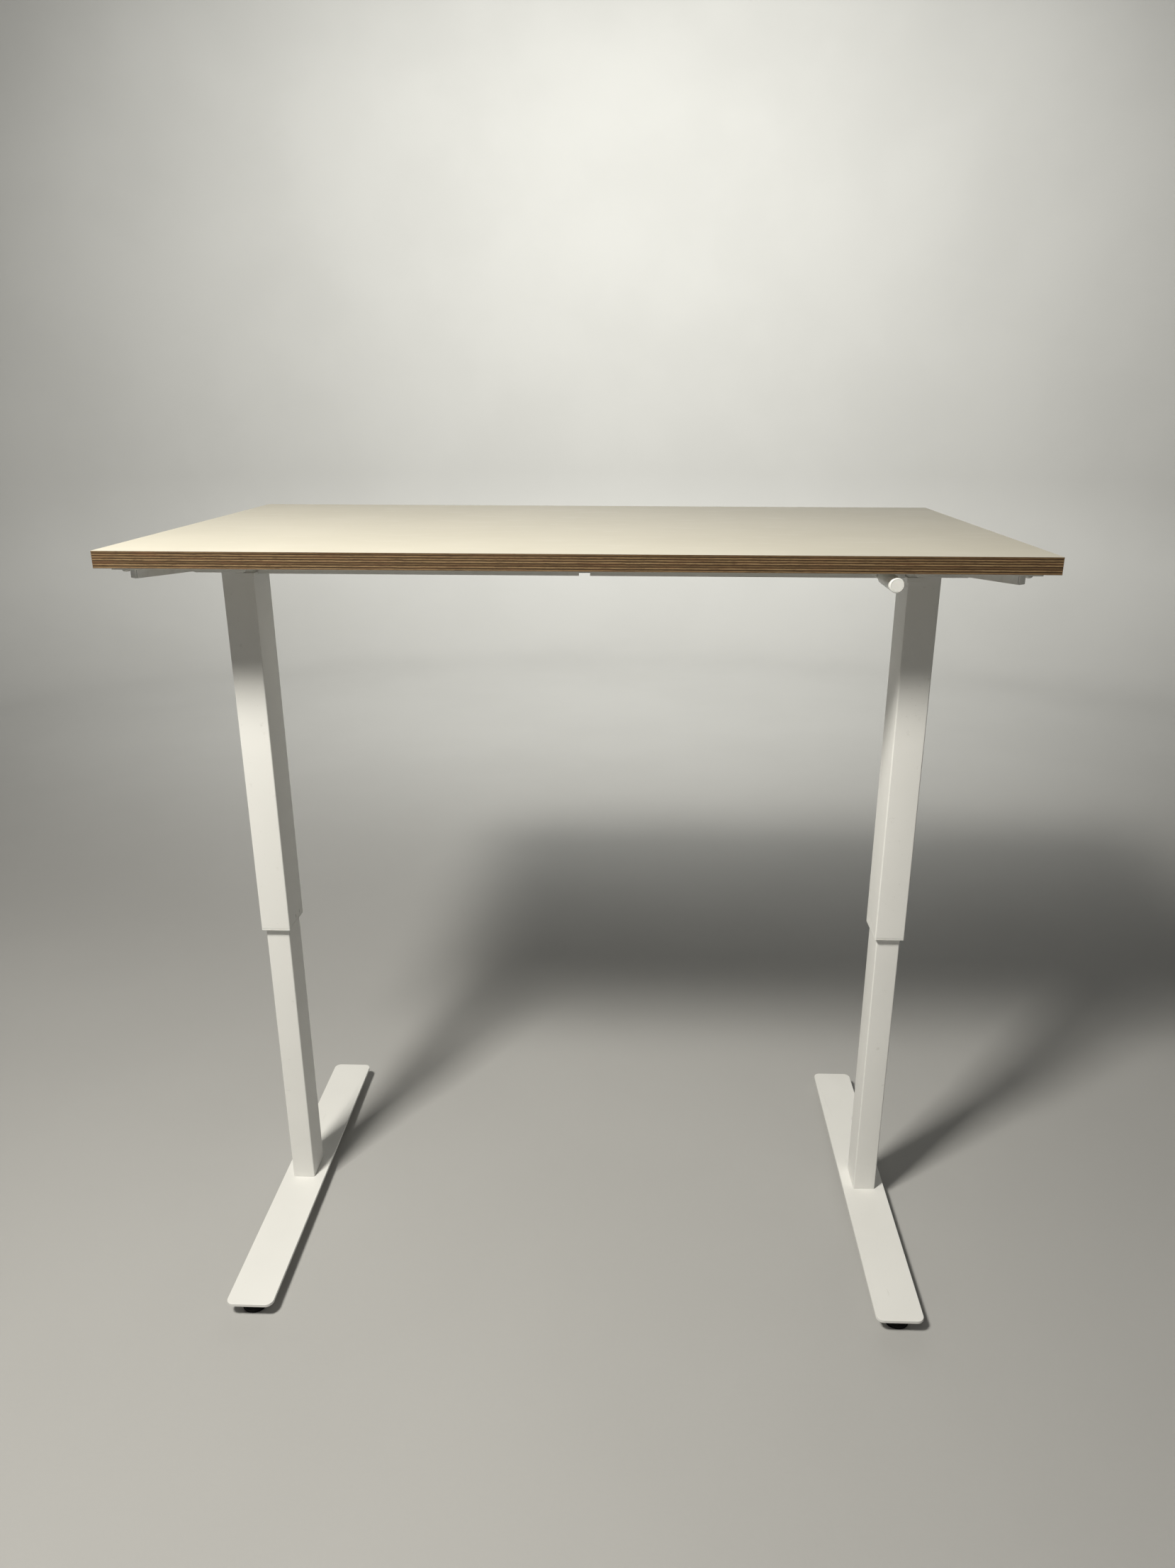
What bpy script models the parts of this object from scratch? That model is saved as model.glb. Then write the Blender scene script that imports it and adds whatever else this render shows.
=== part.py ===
"""Height adjustable standing desk, raised and lowered by a folding crank.

Metres, +X along the worktop to the right, +Y away from the user, +Z up. The origin is on the
floor under the centre of the whole desk, which stands at its top stop. The crank under the front
edge turns a gear that drives two cross shafts, one to each leg. There a pair of bevel gears turns
the lead screw, which climbs through a nut in the top of the fixed lower tube.
"""

from math import atan, atan2, cos, pi, radians, sin, tan

import bmesh
import bpy
from mathutils import Matrix, Vector

GAP = 0.0003                    # left between pieces that touch

# Worktop: plywood core between two sheets of laminate
TOP_WIDTH = 1.330
TOP_DEPTH = 0.760
TOP_HEIGHT = 1.200
CORE_THICK = 0.0222
LAMINATE_THICK = 0.0008

# Feet
FOOT_LENGTH = 0.674
FOOT_WIDTH = 0.0755
FOOT_AHEAD = 0.146              # how far the feet reach out in front of the worktop
FOOT_PLATE_THICK = 0.005
FOOT_PLATE_TOP = 0.027
FOOT_CORNER = 0.012
PAD_RADIUS = 0.020
PAD_HEIGHT = 0.012
PAD_INSET = 0.029               # from the foot's end to the middle of the pad
STUD_RADIUS = 0.004
STUD_TOP = 0.025                # the studs end inside the plate, whose top is unbroken
BOSS_RADIUS = 0.008

# Legs
LEG_X = 0.521
UPPER_TUBE = (0.049, 0.075)
LOWER_TUBE = (0.0394, 0.0594)
TUBE_WALL = 0.0018
TUBE_CORNER = 0.0022
UPPER_TUBE_END = 0.5463
LOWER_TUBE_TOP = 0.629
GLIDE_HEIGHT = 0.040
COLLAR_LIP = 0.003
HEAD_THICK = 0.003
FLANGE_HEIGHT = 0.026
FLANGE_X = (0.505, 0.589)
SNAP_WINDOW = (0.0022, 0.006)   # width and height of the slots that the collar snaps into
SNAP_Y = (-0.001, 0.018)        # from the leg's middle
SNAP_RISE = 0.004               # from the upper tube's end up to the slots
MOULD_NOTCH = 0.007             # left of the leg's middle, in the collar's lip
STRAP_THICK = 0.002
STRAP_HEIGHT = 0.0073
STRAP_REACH = (0.026, 0.0195)   # along the leg's front and along its inner side

# Drive
SHAFT_DROP = 0.0159             # underside of the worktop down to the cross shafts
HEX = 0.007                     # across the flats, cross shafts and crank rod alike
CRANK_X = 0.445
SCREW_RADIUS = 0.006
BEVEL_PITCH = 0.010             # pitch radius, and distance from the cone's tip, at the large end
BEVEL_SMALL = 0.0062            # distance from the cone's tip at the small end
BEVEL_HUB_END = 0.0155
BEVEL_HUB_RADIUS = 0.0075
TEETH = 12
HOUSING_HEIGHT = 0.0595

# Crossbeam
BEAM_DEPTH = 0.040
BEAM_HEIGHT = 0.030
BEAM_WALL = 0.0015
BEAM_SPLIT = (0.0, 0.017)
SLEEVE_HEIGHT = 0.024
SLEEVE_REACH = 0.120

# Arms under the worktop
ARM_WIDTH = 0.0125
ARM_HEIGHT = 0.016
ARM_WALL = 0.002
FRONT_ARM = ((0.529, None), (0.6187, -0.2825))     # root x, then the tip's centre
REAR_ARM = ((0.556, None), (0.612, 0.285))
EAR_X = (0.600, 0.643)
EAR_HALF = 0.009
EAR_THICK = 0.002
EAR_PAST_TIP = 0.010            # from the arm's tip on to the screw, along Y
SCREW_X = 0.625
CAP_THICK = 0.003

# Crank
ROD_FRONT = -0.1405
ROD_BACK = 0.085
ARM_PIVOT_Y = -0.150
GRIP_PIVOT_Y = -0.212
BAR_WIDTH = 0.016
BAR_THICK = 0.008
TONGUE_THICK = 0.003
TONGUE_WIDTH = 0.011
GRIP_Y = (-0.304, -0.224)
GRIP_RADIUS = 0.0105
SPINDLE_RADIUS = 0.003

# Worked out from the above
FOOT_FRONT = -(FOOT_AHEAD + TOP_DEPTH) / 2
FOOT_BACK = FOOT_FRONT + FOOT_LENGTH
TOP_FRONT = FOOT_FRONT + FOOT_AHEAD
LEG_Y = FOOT_FRONT + FOOT_LENGTH / 2
UNDERSIDE = TOP_HEIGHT - CORE_THICK - 2 * (LAMINATE_THICK + GAP)
FRAME_TOP = UNDERSIDE - GAP
SHAFT_Z = UNDERSIDE - SHAFT_DROP
TUBE_TOP = FRAME_TOP - HEAD_THICK - GAP
HOUSING_TOP = TUBE_TOP - GAP
HOUSING_BOTTOM = HOUSING_TOP - HOUSING_HEIGHT
FLANGE_FACE = UPPER_TUBE[1] / 2 + GAP + HEAD_THICK   # flange's outer face, from the leg's middle


# Materials --------------------------------------------------------------------------------------

def finish(name, colour, roughness, metallic=0.0):
    """A Principled material of one colour."""
    material = bpy.data.materials.new(name)
    material.use_nodes = True
    shader = material.node_tree.nodes["Principled BSDF"]
    shader.inputs["Base Color"].default_value = (*colour, 1.0)
    shader.inputs["Roughness"].default_value = roughness
    shader.inputs["Metallic"].default_value = metallic
    return material


def make_finishes():
    """Every finish of the desk, by name."""
    return {
        "laminate": finish("laminate", (0.80, 0.74, 0.63), 0.45),
        "plywood": finish("plywood", (0.42, 0.25, 0.13), 0.6),
        "paint": finish("paint", (0.83, 0.83, 0.81), 0.4),
        "plastic": finish("plastic", (0.86, 0.86, 0.84), 0.5),
        "rubber": finish("rubber", (0.02, 0.02, 0.02), 0.8),
        "steel": finish("steel", (0.60, 0.60, 0.60), 0.35, 1.0),
        "zinc": finish("zinc", (0.55, 0.54, 0.50), 0.45, 1.0),
        "nut_plastic": finish("nut_plastic", (0.75, 0.72, 0.62), 0.55),
    }


# Loops of points --------------------------------------------------------------------------------

def circle(radius, height, count=16):
    """Points round the Z axis."""
    return [Vector((radius * cos(a), radius * sin(a), height))
            for a in (2 * pi * i / count for i in range(count))]


def rounded(size, corner, height, steps=3, centre=(0.0, 0.0)):
    """A rectangle with round corners, 4 * (steps + 1) points, starting at +X like circle."""
    points = []
    for quarter in range(4):
        across = 1 if quarter in (0, 3) else -1
        along = 1 if quarter in (0, 1) else -1
        for i in range(steps + 1):
            a = (quarter + i / steps) * pi / 2
            points.append(Vector((centre[0] + across * (size[0] / 2 - corner) + corner * cos(a),
                                  centre[1] + along * (size[1] / 2 - corner) + corner * sin(a),
                                  height)))
    return points


def hexagon(flats, height):
    """A hexagon with flats on +-Y."""
    return spokes([i * pi / 3 for i in range(6)], lambda a: hexagon_reach(flats, a), height)


def hexagon_reach(flats, angle):
    """How far a hexagon's outline is from its middle in one direction."""
    return flats / 2 / cos(angle % (pi / 3) - pi / 6)


def spokes(angles, reach, height):
    """Points at these angles round the Z axis, as far out as reach gives for each."""
    return [Vector((reach(a) * cos(a), reach(a) * sin(a), height)) for a in angles]


def tooth_angles(tooth_first):
    """Root, tip, tip and root of each tooth. A tooth or a gap is centred on +X."""
    pitch = 2 * pi / TEETH
    shift = 0.0 if tooth_first else pitch / 2
    return [tooth * pitch + shift + part * pitch
            for tooth in range(TEETH) for part in (-0.30, -0.115, 0.115, 0.30)]


def tooth_outline(angles, distance):
    """The outline of a miter gear where it is this far from the tip of its cone."""
    module_angle = atan(2 / (TEETH * 2 ** 0.5))
    root = distance * tan(pi / 4 - 1.05 * module_angle)
    tip = distance * tan(pi / 4 + 0.80 * module_angle)
    return [Vector((radius * cos(a), radius * sin(a), distance))
            for a, radius in zip(angles, (root, tip, tip, root) * TEETH)]


# Meshes -----------------------------------------------------------------------------------------

def skin(loops, ring=False):
    """A closed mesh through loops of equal length, capped, or closed on itself as a ring."""
    mesh = bmesh.new()
    rows = [[mesh.verts.new(point) for point in loop] for loop in loops]
    pairs = list(zip(rows, rows[1:]))
    if ring:
        pairs.append((rows[-1], rows[0]))
    for low, high in pairs:
        for i in range(len(low)):
            j = (i + 1) % len(low)
            mesh.faces.new((low[i], low[j], high[j], high[i]))
    if not ring:
        mesh.faces.new(reversed(rows[0]))
        mesh.faces.new(rows[-1])
    bmesh.ops.recalc_face_normals(mesh, faces=mesh.faces)
    return mesh


def turned(profile, count=16, ring=False):
    """A round solid from (radius, height) pairs."""
    return skin([circle(radius, height, count) for radius, height in profile], ring)


def block(low, high, corner=0.0):
    """A box between two corners, its upright edges rounded."""
    size = (high[0] - low[0], high[1] - low[1])
    centre = ((low[0] + high[0]) / 2, (low[1] + high[1]) / 2)
    if corner:
        return skin([rounded(size, corner, z, 3, centre) for z in (low[2], high[2])])
    mesh = bmesh.new()
    bmesh.ops.create_cube(mesh, size=1.0)
    for vert in mesh.verts:
        vert.co = [low[k] + (vert.co[k] + 0.5) * (high[k] - low[k]) for k in range(3)]
    return mesh


def channel(length, width, height, wall, root_slant=0.0):
    """An upside-down U along +X, its top at z = 0. The root end is cut at a slant."""
    half = width / 2
    outline = [(-half, -height), (-half, 0), (half, 0), (half, -height),
               (half - wall, -height), (half - wall, -wall), (wall - half, -wall),
               (wall - half, -height)]
    root = [Vector((y * root_slant, y, z)) for y, z in outline]
    tip = [Vector((length, y, z)) for y, z in outline]
    return skin([root, tip])


def moved(mesh, matrix):
    """The same mesh, moved."""
    bmesh.ops.transform(mesh, matrix=matrix, verts=mesh.verts)
    return mesh


def along_x(mesh):
    """Turn a mesh made along +Z so that it runs along +X."""
    return moved(mesh, Matrix.Rotation(pi / 2, 4, "Y"))


def along_minus_y(mesh):
    """Turn a mesh made along +Z so that it runs along -Y."""
    return moved(mesh, Matrix.Rotation(pi / 2, 4, "X"))


def at(mesh, x=0.0, y=0.0, z=0.0):
    """Shift a mesh."""
    return moved(mesh, Matrix.Translation((x, y, z)))


def mirrored(mesh):
    """The left-hand copy of a right-hand mesh."""
    for vert in mesh.verts:
        vert.co.x = -vert.co.x
    bmesh.ops.reverse_faces(mesh, faces=mesh.faces)
    return mesh


# The desk ---------------------------------------------------------------------------------------

class Desk:
    """Builds the desk's pieces into the scene, each on the empty of the body it moves with."""

    def __init__(self):
        """Start with the finishes and no bodies."""
        self.finishes = make_finishes()
        self.pivots = {}
        self.left = False

    def body(self, name, x, y, z, parent=None):
        """An empty on the axis of a moving body."""
        empty = bpy.data.objects.new(name + "_axis", None)
        empty.empty_display_size = 0.02
        bpy.context.collection.objects.link(empty)
        place = Vector((-x if self.left else x, y, z))
        if parent:
            empty.parent = self.pivots[parent][0]
            empty.location = place - self.pivots[parent][1]
        else:
            empty.location = place
        self.pivots[name] = (empty, place)

    def add(self, name, mesh, material, body=None, smooth=True):
        """Make a mesh into a named piece of the desk."""
        if self.left:
            mirrored(mesh)
        data = bpy.data.meshes.new(name)
        piece = bpy.data.objects.new(name, data)
        if body:
            piece.parent, pivot = self.pivots[body]
            at(mesh, *(-pivot))
        mesh.to_mesh(data)
        mesh.free()
        data.materials.append(self.finishes[material])
        if smooth:
            data.shade_smooth()
            data.set_sharp_from_angle(angle=radians(35))
        bpy.context.collection.objects.link(piece)
        return piece

    def cut(self, piece, *meshes, operation="DIFFERENCE"):
        """Cut shapes out of a piece, or join them to it."""
        for mesh in meshes:
            name = piece.name + "_" + operation.lower()
            if self.left:
                mirrored(mesh)
            data = bpy.data.meshes.new(name)
            mesh.to_mesh(data)
            mesh.free()
            tool = bpy.data.objects.new(name, data)
            tool.hide_render = True
            tool.display_type = "WIRE"
            bpy.context.collection.objects.link(tool)
            modifier = piece.modifiers.new(operation.title(), "BOOLEAN")
            modifier.operation = operation
            modifier.solver = "EXACT"
            modifier.object = tool

    # Worktop

    def worktop(self):
        """The plywood core and its two sheets of laminate, drilled for the arms' screws."""
        bottom = UNDERSIDE
        for name, thick, material in (("bottom_laminate", LAMINATE_THICK, "laminate"),
                                      ("tabletop_core", CORE_THICK, "plywood"),
                                      ("top_laminate", LAMINATE_THICK, "laminate")):
            low = (-TOP_WIDTH / 2, TOP_FRONT, bottom)
            high = (TOP_WIDTH / 2, TOP_FRONT + TOP_DEPTH, bottom + thick)
            sheet = self.add(name, block(low, high), material, "upper", smooth=False)
            if name != "top_laminate":
                for x in (-SCREW_X, SCREW_X):
                    for y in (ear_y(FRONT_ARM), ear_y(REAR_ARM)):
                        drill = turned([(0.0026, UNDERSIDE - 0.002), (0.0026, UNDERSIDE + 0.014)], 12)
                        self.cut(sheet, at(drill, x, y))
            bottom += thick + GAP

    # Base

    def foot(self, side):
        """One foot: its plate, levelling pads, and the bolt and block that hold the lower tube."""
        plate_bottom = FOOT_PLATE_TOP - FOOT_PLATE_THICK
        plate = self.add("foot_plate_" + side,
                         block((LEG_X - FOOT_WIDTH / 2, FOOT_FRONT, plate_bottom),
                               (LEG_X + FOOT_WIDTH / 2, FOOT_BACK, FOOT_PLATE_TOP), FOOT_CORNER),
                         "paint")
        pad_places = {"front": FOOT_FRONT + PAD_INSET, "rear": FOOT_BACK - PAD_INSET}
        for end, y in pad_places.items():
            boss = turned([(BOSS_RADIUS, PAD_HEIGHT + 0.0015), (BOSS_RADIUS, plate_bottom + 0.001)])
            self.cut(plate, at(boss, LEG_X, y), operation="UNION")
            hole = turned([(STUD_RADIUS + GAP, 0.010), (STUD_RADIUS + GAP, STUD_TOP + 0.0004)])
            self.cut(plate, at(hole, LEG_X, y))
            body = "pad_" + end + "_" + side
            self.body(body, LEG_X, y, 0.0)
            pad = turned([(PAD_RADIUS - 0.0015, 0.0), (PAD_RADIUS, 0.0015), (PAD_RADIUS, 0.006),
                          (0.010, PAD_HEIGHT), (STUD_RADIUS, PAD_HEIGHT),
                          (STUD_RADIUS, STUD_TOP)], 24)
            self.add("levelling_" + body, at(pad, LEG_X, y), "rubber", body)
        bolt_hole = turned([(0.0043, 0.010), (0.0043, 0.030)])
        self.cut(plate, at(bolt_hole, LEG_X, LEG_Y))
        bolt = turned([(0.0060, plate_bottom - 0.0050), (0.0070, plate_bottom - 0.0040),
                       (0.0070, plate_bottom - GAP), (0.0040, plate_bottom - GAP), (0.0040, 0.038)])
        self.add("foot_bolt_" + side, at(bolt, LEG_X, LEG_Y), "zinc")
        inside = [size - 2 * TUBE_WALL - 2 * GAP for size in LOWER_TUBE]
        low, high = FOOT_PLATE_TOP + GAP, FOOT_PLATE_TOP + 0.013
        plug = skin([rounded(inside, 0.002, low), rounded(inside, 0.002, high),
                     circle(0.0043, high), circle(0.0043, low)], ring=True)
        self.add("tube_block_" + side, at(plug, LEG_X, LEG_Y), "steel")

    def lower_leg(self, side):
        """The fixed lower tube, with the nut and the glide at its top."""
        bottom = FOOT_PLATE_TOP + GAP
        self.add("lower_tube_" + side, tube(LOWER_TUBE, bottom, LOWER_TUBE_TOP), "paint")
        inside = [size - 2 * TUBE_WALL - 2 * GAP for size in LOWER_TUBE]
        bore = SCREW_RADIUS + GAP
        low, high = LOWER_TUBE_TOP - 0.032, LOWER_TUBE_TOP - 0.002
        nut = skin([rounded(inside, 0.002, low), rounded(inside, 0.002, high),
                    circle(bore, high), circle(bore, low)], ring=True)
        self.add("drive_nut_" + side, at(nut, LEG_X, LEG_Y), "nut_plastic")
        hole = [size + 2 * GAP for size in LOWER_TUBE]
        shoe = [size - 2 * TUBE_WALL - 2 * GAP for size in UPPER_TUBE]
        low = LOWER_TUBE_TOP - GLIDE_HEIGHT
        glide = skin([rounded(shoe, 0.0025, low), rounded(shoe, 0.0025, LOWER_TUBE_TOP),
                      rounded(hole, TUBE_CORNER, LOWER_TUBE_TOP), rounded(hole, TUBE_CORNER, low)],
                     ring=True)
        self.add("lower_glide_" + side, at(glide, LEG_X, LEG_Y), "plastic")

    # Upper frame

    def upper_leg(self, side):
        """The sliding upper tube, the collar in its lower end and the head plate on its top."""
        sleeve = self.add("upper_tube_" + side, tube(UPPER_TUBE, UPPER_TUBE_END, TUBE_TOP),
                          "paint", "upper")
        window = turned([(0.005, -0.03), (0.005, -0.01)])
        self.cut(sleeve, at(along_x(window), LEG_X, LEG_Y, SHAFT_Z))
        inner_face = LEG_X - UPPER_TUBE[0] / 2
        slot_bottom = UPPER_TUBE_END + SNAP_RISE
        for y in SNAP_Y:
            low_y, high_y = LEG_Y + y - SNAP_WINDOW[0] / 2, LEG_Y + y + SNAP_WINDOW[0] / 2
            self.cut(sleeve, block((inner_face - 0.001, low_y, slot_bottom),
                                   (inner_face + TUBE_WALL + 0.0002, high_y,
                                    slot_bottom + SNAP_WINDOW[1])))
        lip_low = UPPER_TUBE_END - GAP - COLLAR_LIP
        shoe = [size - 2 * TUBE_WALL - 2 * GAP for size in UPPER_TUBE]
        hole = [size + 2 * GAP for size in LOWER_TUBE]
        top = UPPER_TUBE_END + GLIDE_HEIGHT
        collar = skin([rounded(UPPER_TUBE, TUBE_CORNER, lip_low),
                       rounded(UPPER_TUBE, TUBE_CORNER, lip_low + COLLAR_LIP),
                       rounded(shoe, 0.0025, lip_low + COLLAR_LIP), rounded(shoe, 0.0025, top),
                       rounded(hole, TUBE_CORNER, top), rounded(hole, TUBE_CORNER, lip_low)],
                      ring=True)
        collar = self.add("collar_glide_" + side, at(collar, LEG_X, LEG_Y), "plastic", "upper")
        for y in SNAP_Y:
            low_y, high_y = LEG_Y + y - SNAP_WINDOW[0] / 2, LEG_Y + y + SNAP_WINDOW[0] / 2
            self.cut(collar, block((inner_face + TUBE_WALL / 3, low_y + GAP, slot_bottom + GAP),
                                   (inner_face + TUBE_WALL + 0.0015, high_y - GAP,
                                    slot_bottom + SNAP_WINDOW[1] - GAP)), operation="UNION")
        notch_x = LEG_X + (MOULD_NOTCH if self.left else -MOULD_NOTCH)
        front = LEG_Y - UPPER_TUBE[1] / 2
        self.cut(collar, block((notch_x - 0.0004, front - 0.001, lip_low - 0.001),
                               (notch_x + 0.0004, front + 0.0005, lip_low + COLLAR_LIP + 0.001)))
        half = FLANGE_FACE
        head = self.add("head_plate_" + side,
                        block((LEG_X - UPPER_TUBE[0] / 2, LEG_Y - half, FRAME_TOP - HEAD_THICK),
                              (FLANGE_X[1] - 0.012, LEG_Y + half, FRAME_TOP)), "paint", "upper")
        size = (FLANGE_X[1] - FLANGE_X[0], FLANGE_HEIGHT)
        middle = sum(FLANGE_X) / 2
        for place in (LEG_Y - half + HEAD_THICK, LEG_Y + half):
            flange = skin([rounded(size, 0.006, 0.0), rounded(size, 0.006, HEAD_THICK)])
            along_minus_y(flange)
            at(flange, middle, place, FRAME_TOP - FLANGE_HEIGHT / 2)
            self.cut(head, flange, operation="UNION")

    def strap(self, side):
        """The folded strap that holds the crossbeam to the leg's inner front corner."""
        x, y = LEG_X - UPPER_TUBE[0] / 2 - GAP, LEG_Y - UPPER_TUBE[1] / 2 - GAP
        along, back = x + STRAP_REACH[0], y + STRAP_REACH[1] - STRAP_THICK
        outline = [(x - STRAP_THICK, y - STRAP_THICK), (along, y - STRAP_THICK), (along, y),
                   (x, y), (x, back), (x - STRAP_THICK, back)]
        top = FRAME_TOP - FLANGE_HEIGHT - GAP
        strap = skin([[Vector((*point, z)) for point in outline]
                      for z in (top - STRAP_HEIGHT, top)])
        self.add("beam_strap_" + side, strap, "paint", "upper", smooth=False)

    def arm(self, side, end, line):
        """One arm that carries the worktop, with its ear, screw and end cap."""
        outward = -1 if end == "front" else 1
        start = Vector((line[0][0], LEG_Y + outward * (FLANGE_FACE + GAP)))
        tip = Vector(line[1])
        run = tip - start
        heading = atan2(run.y, run.x)
        slant = -1 / tan(heading)
        place = Matrix.Translation((*start, FRAME_TOP - GAP)) @ Matrix.Rotation(heading, 4, "Z")
        bar = moved(channel(run.length, ARM_WIDTH, ARM_HEIGHT - GAP, ARM_WALL, slant), place)
        arm = self.add(end + "_arm_" + side, bar, "paint", "upper")
        hole_y = ear_y(line)
        low_y, high_y = sorted((hole_y - outward * 0.020, hole_y + outward * EAR_HALF))
        ear = block((EAR_X[0], low_y, FRAME_TOP - EAR_THICK), (EAR_X[1], high_y, FRAME_TOP), 0.004)
        hole = turned([(0.0026, FRAME_TOP - 0.005), (0.0026, FRAME_TOP + 0.005)], 12)
        self.cut(arm, ear, operation="UNION")
        self.cut(arm, at(hole, SCREW_X, hole_y))
        head_top = FRAME_TOP - EAR_THICK - GAP
        screw = turned([(0.0035, head_top - 0.0034), (0.0050, head_top - 0.0024),
                        (0.0055, head_top - 0.0010), (0.0055, head_top), (0.0021, head_top),
                        (0.0021, UNDERSIDE + 0.010), (0.0004, UNDERSIDE + 0.0135)])
        self.add(end + "_arm_screw_" + side, at(screw, SCREW_X, hole_y), "zinc", "upper")
        if end == "front":
            low = (run.length + GAP, -ARM_WIDTH / 2, -ARM_HEIGHT + GAP)
            high = (run.length + CAP_THICK, ARM_WIDTH / 2, -EAR_THICK - GAP)
            self.add("arm_cap_" + side, moved(block(low, high, 0.001), place), "plastic", "upper")

    def beam(self):
        """The crossbeam: two channels and the sleeve that joins them."""
        ends = LEG_X - UPPER_TUBE[0] / 2 - GAP
        for name, low, high in (("left_beam", -ends, BEAM_SPLIT[0]),
                                ("right_beam", BEAM_SPLIT[1], ends)):
            rail = channel(high - low, BEAM_DEPTH, BEAM_HEIGHT, BEAM_WALL)
            beam = self.add(name, at(rail, low, LEG_Y, FRAME_TOP), "paint", "upper")
            if name == "right_beam":
                self.cut(beam, rod_passage())
        inner = BEAM_DEPTH - 2 * (BEAM_WALL + GAP)
        reach = 2 * SLEEVE_REACH + BEAM_SPLIT[1]
        sleeve = channel(reach, inner, SLEEVE_HEIGHT, BEAM_WALL)
        at(sleeve, -SLEEVE_REACH, LEG_Y, FRAME_TOP - BEAM_WALL - GAP)
        self.add("beam_sleeve", sleeve, "steel", "upper")

    # Drive

    def leg_drive(self, side):
        """The gear housing in the top of a leg, its thrust bearing, lead screw and bevel gear."""
        size = [size - 2 * TUBE_WALL - 2 * GAP for size in UPPER_TUBE]
        seat, floor = HOUSING_BOTTOM + 0.015, HOUSING_BOTTOM + 0.021
        housing = skin([rounded(size, 0.0025, HOUSING_BOTTOM), rounded(size, 0.0025, HOUSING_TOP)])
        housing = self.add("leg_gear_housing_" + side, at(housing, LEG_X, LEG_Y), "zinc", "upper")
        bore = turned([(0.0113, HOUSING_BOTTOM - 0.01), (0.0113, seat), (0.0053, seat),
                       (0.0053, floor + 0.001)])
        room = block((LEG_X - 0.0165, LEG_Y - 0.013, floor),
                     (LEG_X + 0.013, LEG_Y + 0.013, HOUSING_TOP + 0.01))
        side_hole = along_x(turned([(0.005, -0.03), (0.005, -0.01)]))
        self.cut(housing, at(bore, LEG_X, LEG_Y), room, at(side_hole, LEG_X, LEG_Y, SHAFT_Z))
        bearing = turned([(0.0053, seat - GAP), (0.011, seat - GAP), (0.011, seat - 0.006),
                          (0.0053, seat - 0.006)], ring=True)
        self.add("thrust_bearing_" + side, at(bearing, LEG_X, LEG_Y), "steel", "upper")
        body = "screw_" + side
        self.body(body, LEG_X, LEG_Y, SHAFT_Z, "upper")
        hub = SHAFT_Z - BEVEL_HUB_END
        shoulder = seat - 0.006 - GAP
        screw = turned([(SCREW_RADIUS - 0.0015, 0.585), (SCREW_RADIUS, 0.5865),
                        (SCREW_RADIUS, shoulder - 0.006), (0.009, shoulder - 0.006),
                        (0.009, shoulder), (0.005, shoulder), (0.005, hub - GAP),
                        (0.003, hub - GAP), (0.003, SHAFT_Z - BEVEL_SMALL - 0.001)])
        self.add("lead_screw_" + side, at(screw, LEG_X, LEG_Y), "steel", body)
        gear = moved(bevel_gear(True, lambda a: 0.0033), Matrix.Rotation(pi, 4, "X"))
        self.add("screw_bevel_" + side, at(gear, LEG_X, LEG_Y, SHAFT_Z), "steel", body)

    def cross_shafts(self):
        """The two hexagonal shafts from the crank's gearbox to the legs, with their gears."""
        for name, leg in (("cross_shaft", -LEG_X), ("stub_shaft", LEG_X)):
            self.body(name, CRANK_X, LEG_Y, SHAFT_Z, "upper")
            way = -1 if leg < CRANK_X else 1
            end = BEVEL_SMALL + GAP
            low, high = sorted((CRANK_X + way * end, leg - way * end))
            shaft = along_x(skin([hexagon(HEX, 0.0), hexagon(HEX, high - low)]))
            self.add(name, at(shaft, low, LEG_Y, SHAFT_Z), "steel", name, smooth=False)
            for end_name, x, facing in (("crank_end", CRANK_X, way), ("leg_end", leg, -way)):
                gear = along_x(bevel_gear(False, hexagonal_bore))
                if facing < 0:
                    moved(gear, Matrix.Rotation(pi, 4, "Z"))
                self.add(name + "_bevel_" + end_name, at(gear, x, LEG_Y, SHAFT_Z), "steel", name)

    def crank_gearbox(self):
        """The gearbox inside the crossbeam and the gear that the crank's rod slides through."""
        half = BEAM_DEPTH / 2 - BEAM_WALL - GAP
        low = (CRANK_X - 0.0195, LEG_Y - half, FRAME_TOP - BEAM_HEIGHT + 0.0006)
        high = (CRANK_X + 0.0195, LEG_Y + half, FRAME_TOP - BEAM_WALL - GAP)
        housing = self.add("crank_gear_housing", block(low, high), "zinc", "upper", smooth=False)
        room = block((CRANK_X - 0.0165, LEG_Y - 0.0162, low[2] + 0.0015),
                     (CRANK_X + 0.0165, LEG_Y + 0.0126, high[2] + 0.01))
        side_hole = along_x(turned([(0.005, -0.03), (0.005, 0.03)]))
        self.cut(housing, room, rod_passage(), at(side_hole, CRANK_X, LEG_Y, SHAFT_Z))
        self.body("crank_gear", CRANK_X, LEG_Y, SHAFT_Z, "upper")
        gear = along_minus_y(bevel_gear(True, hexagonal_bore))
        self.add("crank_bevel", at(gear, CRANK_X, LEG_Y, SHAFT_Z), "steel", "crank_gear")

    # Crank

    def crank(self):
        """The sliding rod, the folding bar, the grip's bracket and the turning grip."""
        self.body("crank_rod", CRANK_X, LEG_Y, SHAFT_Z, "crank_gear")
        rod = along_minus_y(skin([hexagon(HEX, -ROD_BACK), hexagon(HEX, -ROD_FRONT)]))
        rod = self.add("crank_rod", at(rod, CRANK_X, 0.0, SHAFT_Z), "steel", "crank_rod")
        self.tongue(rod, ARM_PIVOT_Y, -1)

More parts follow.
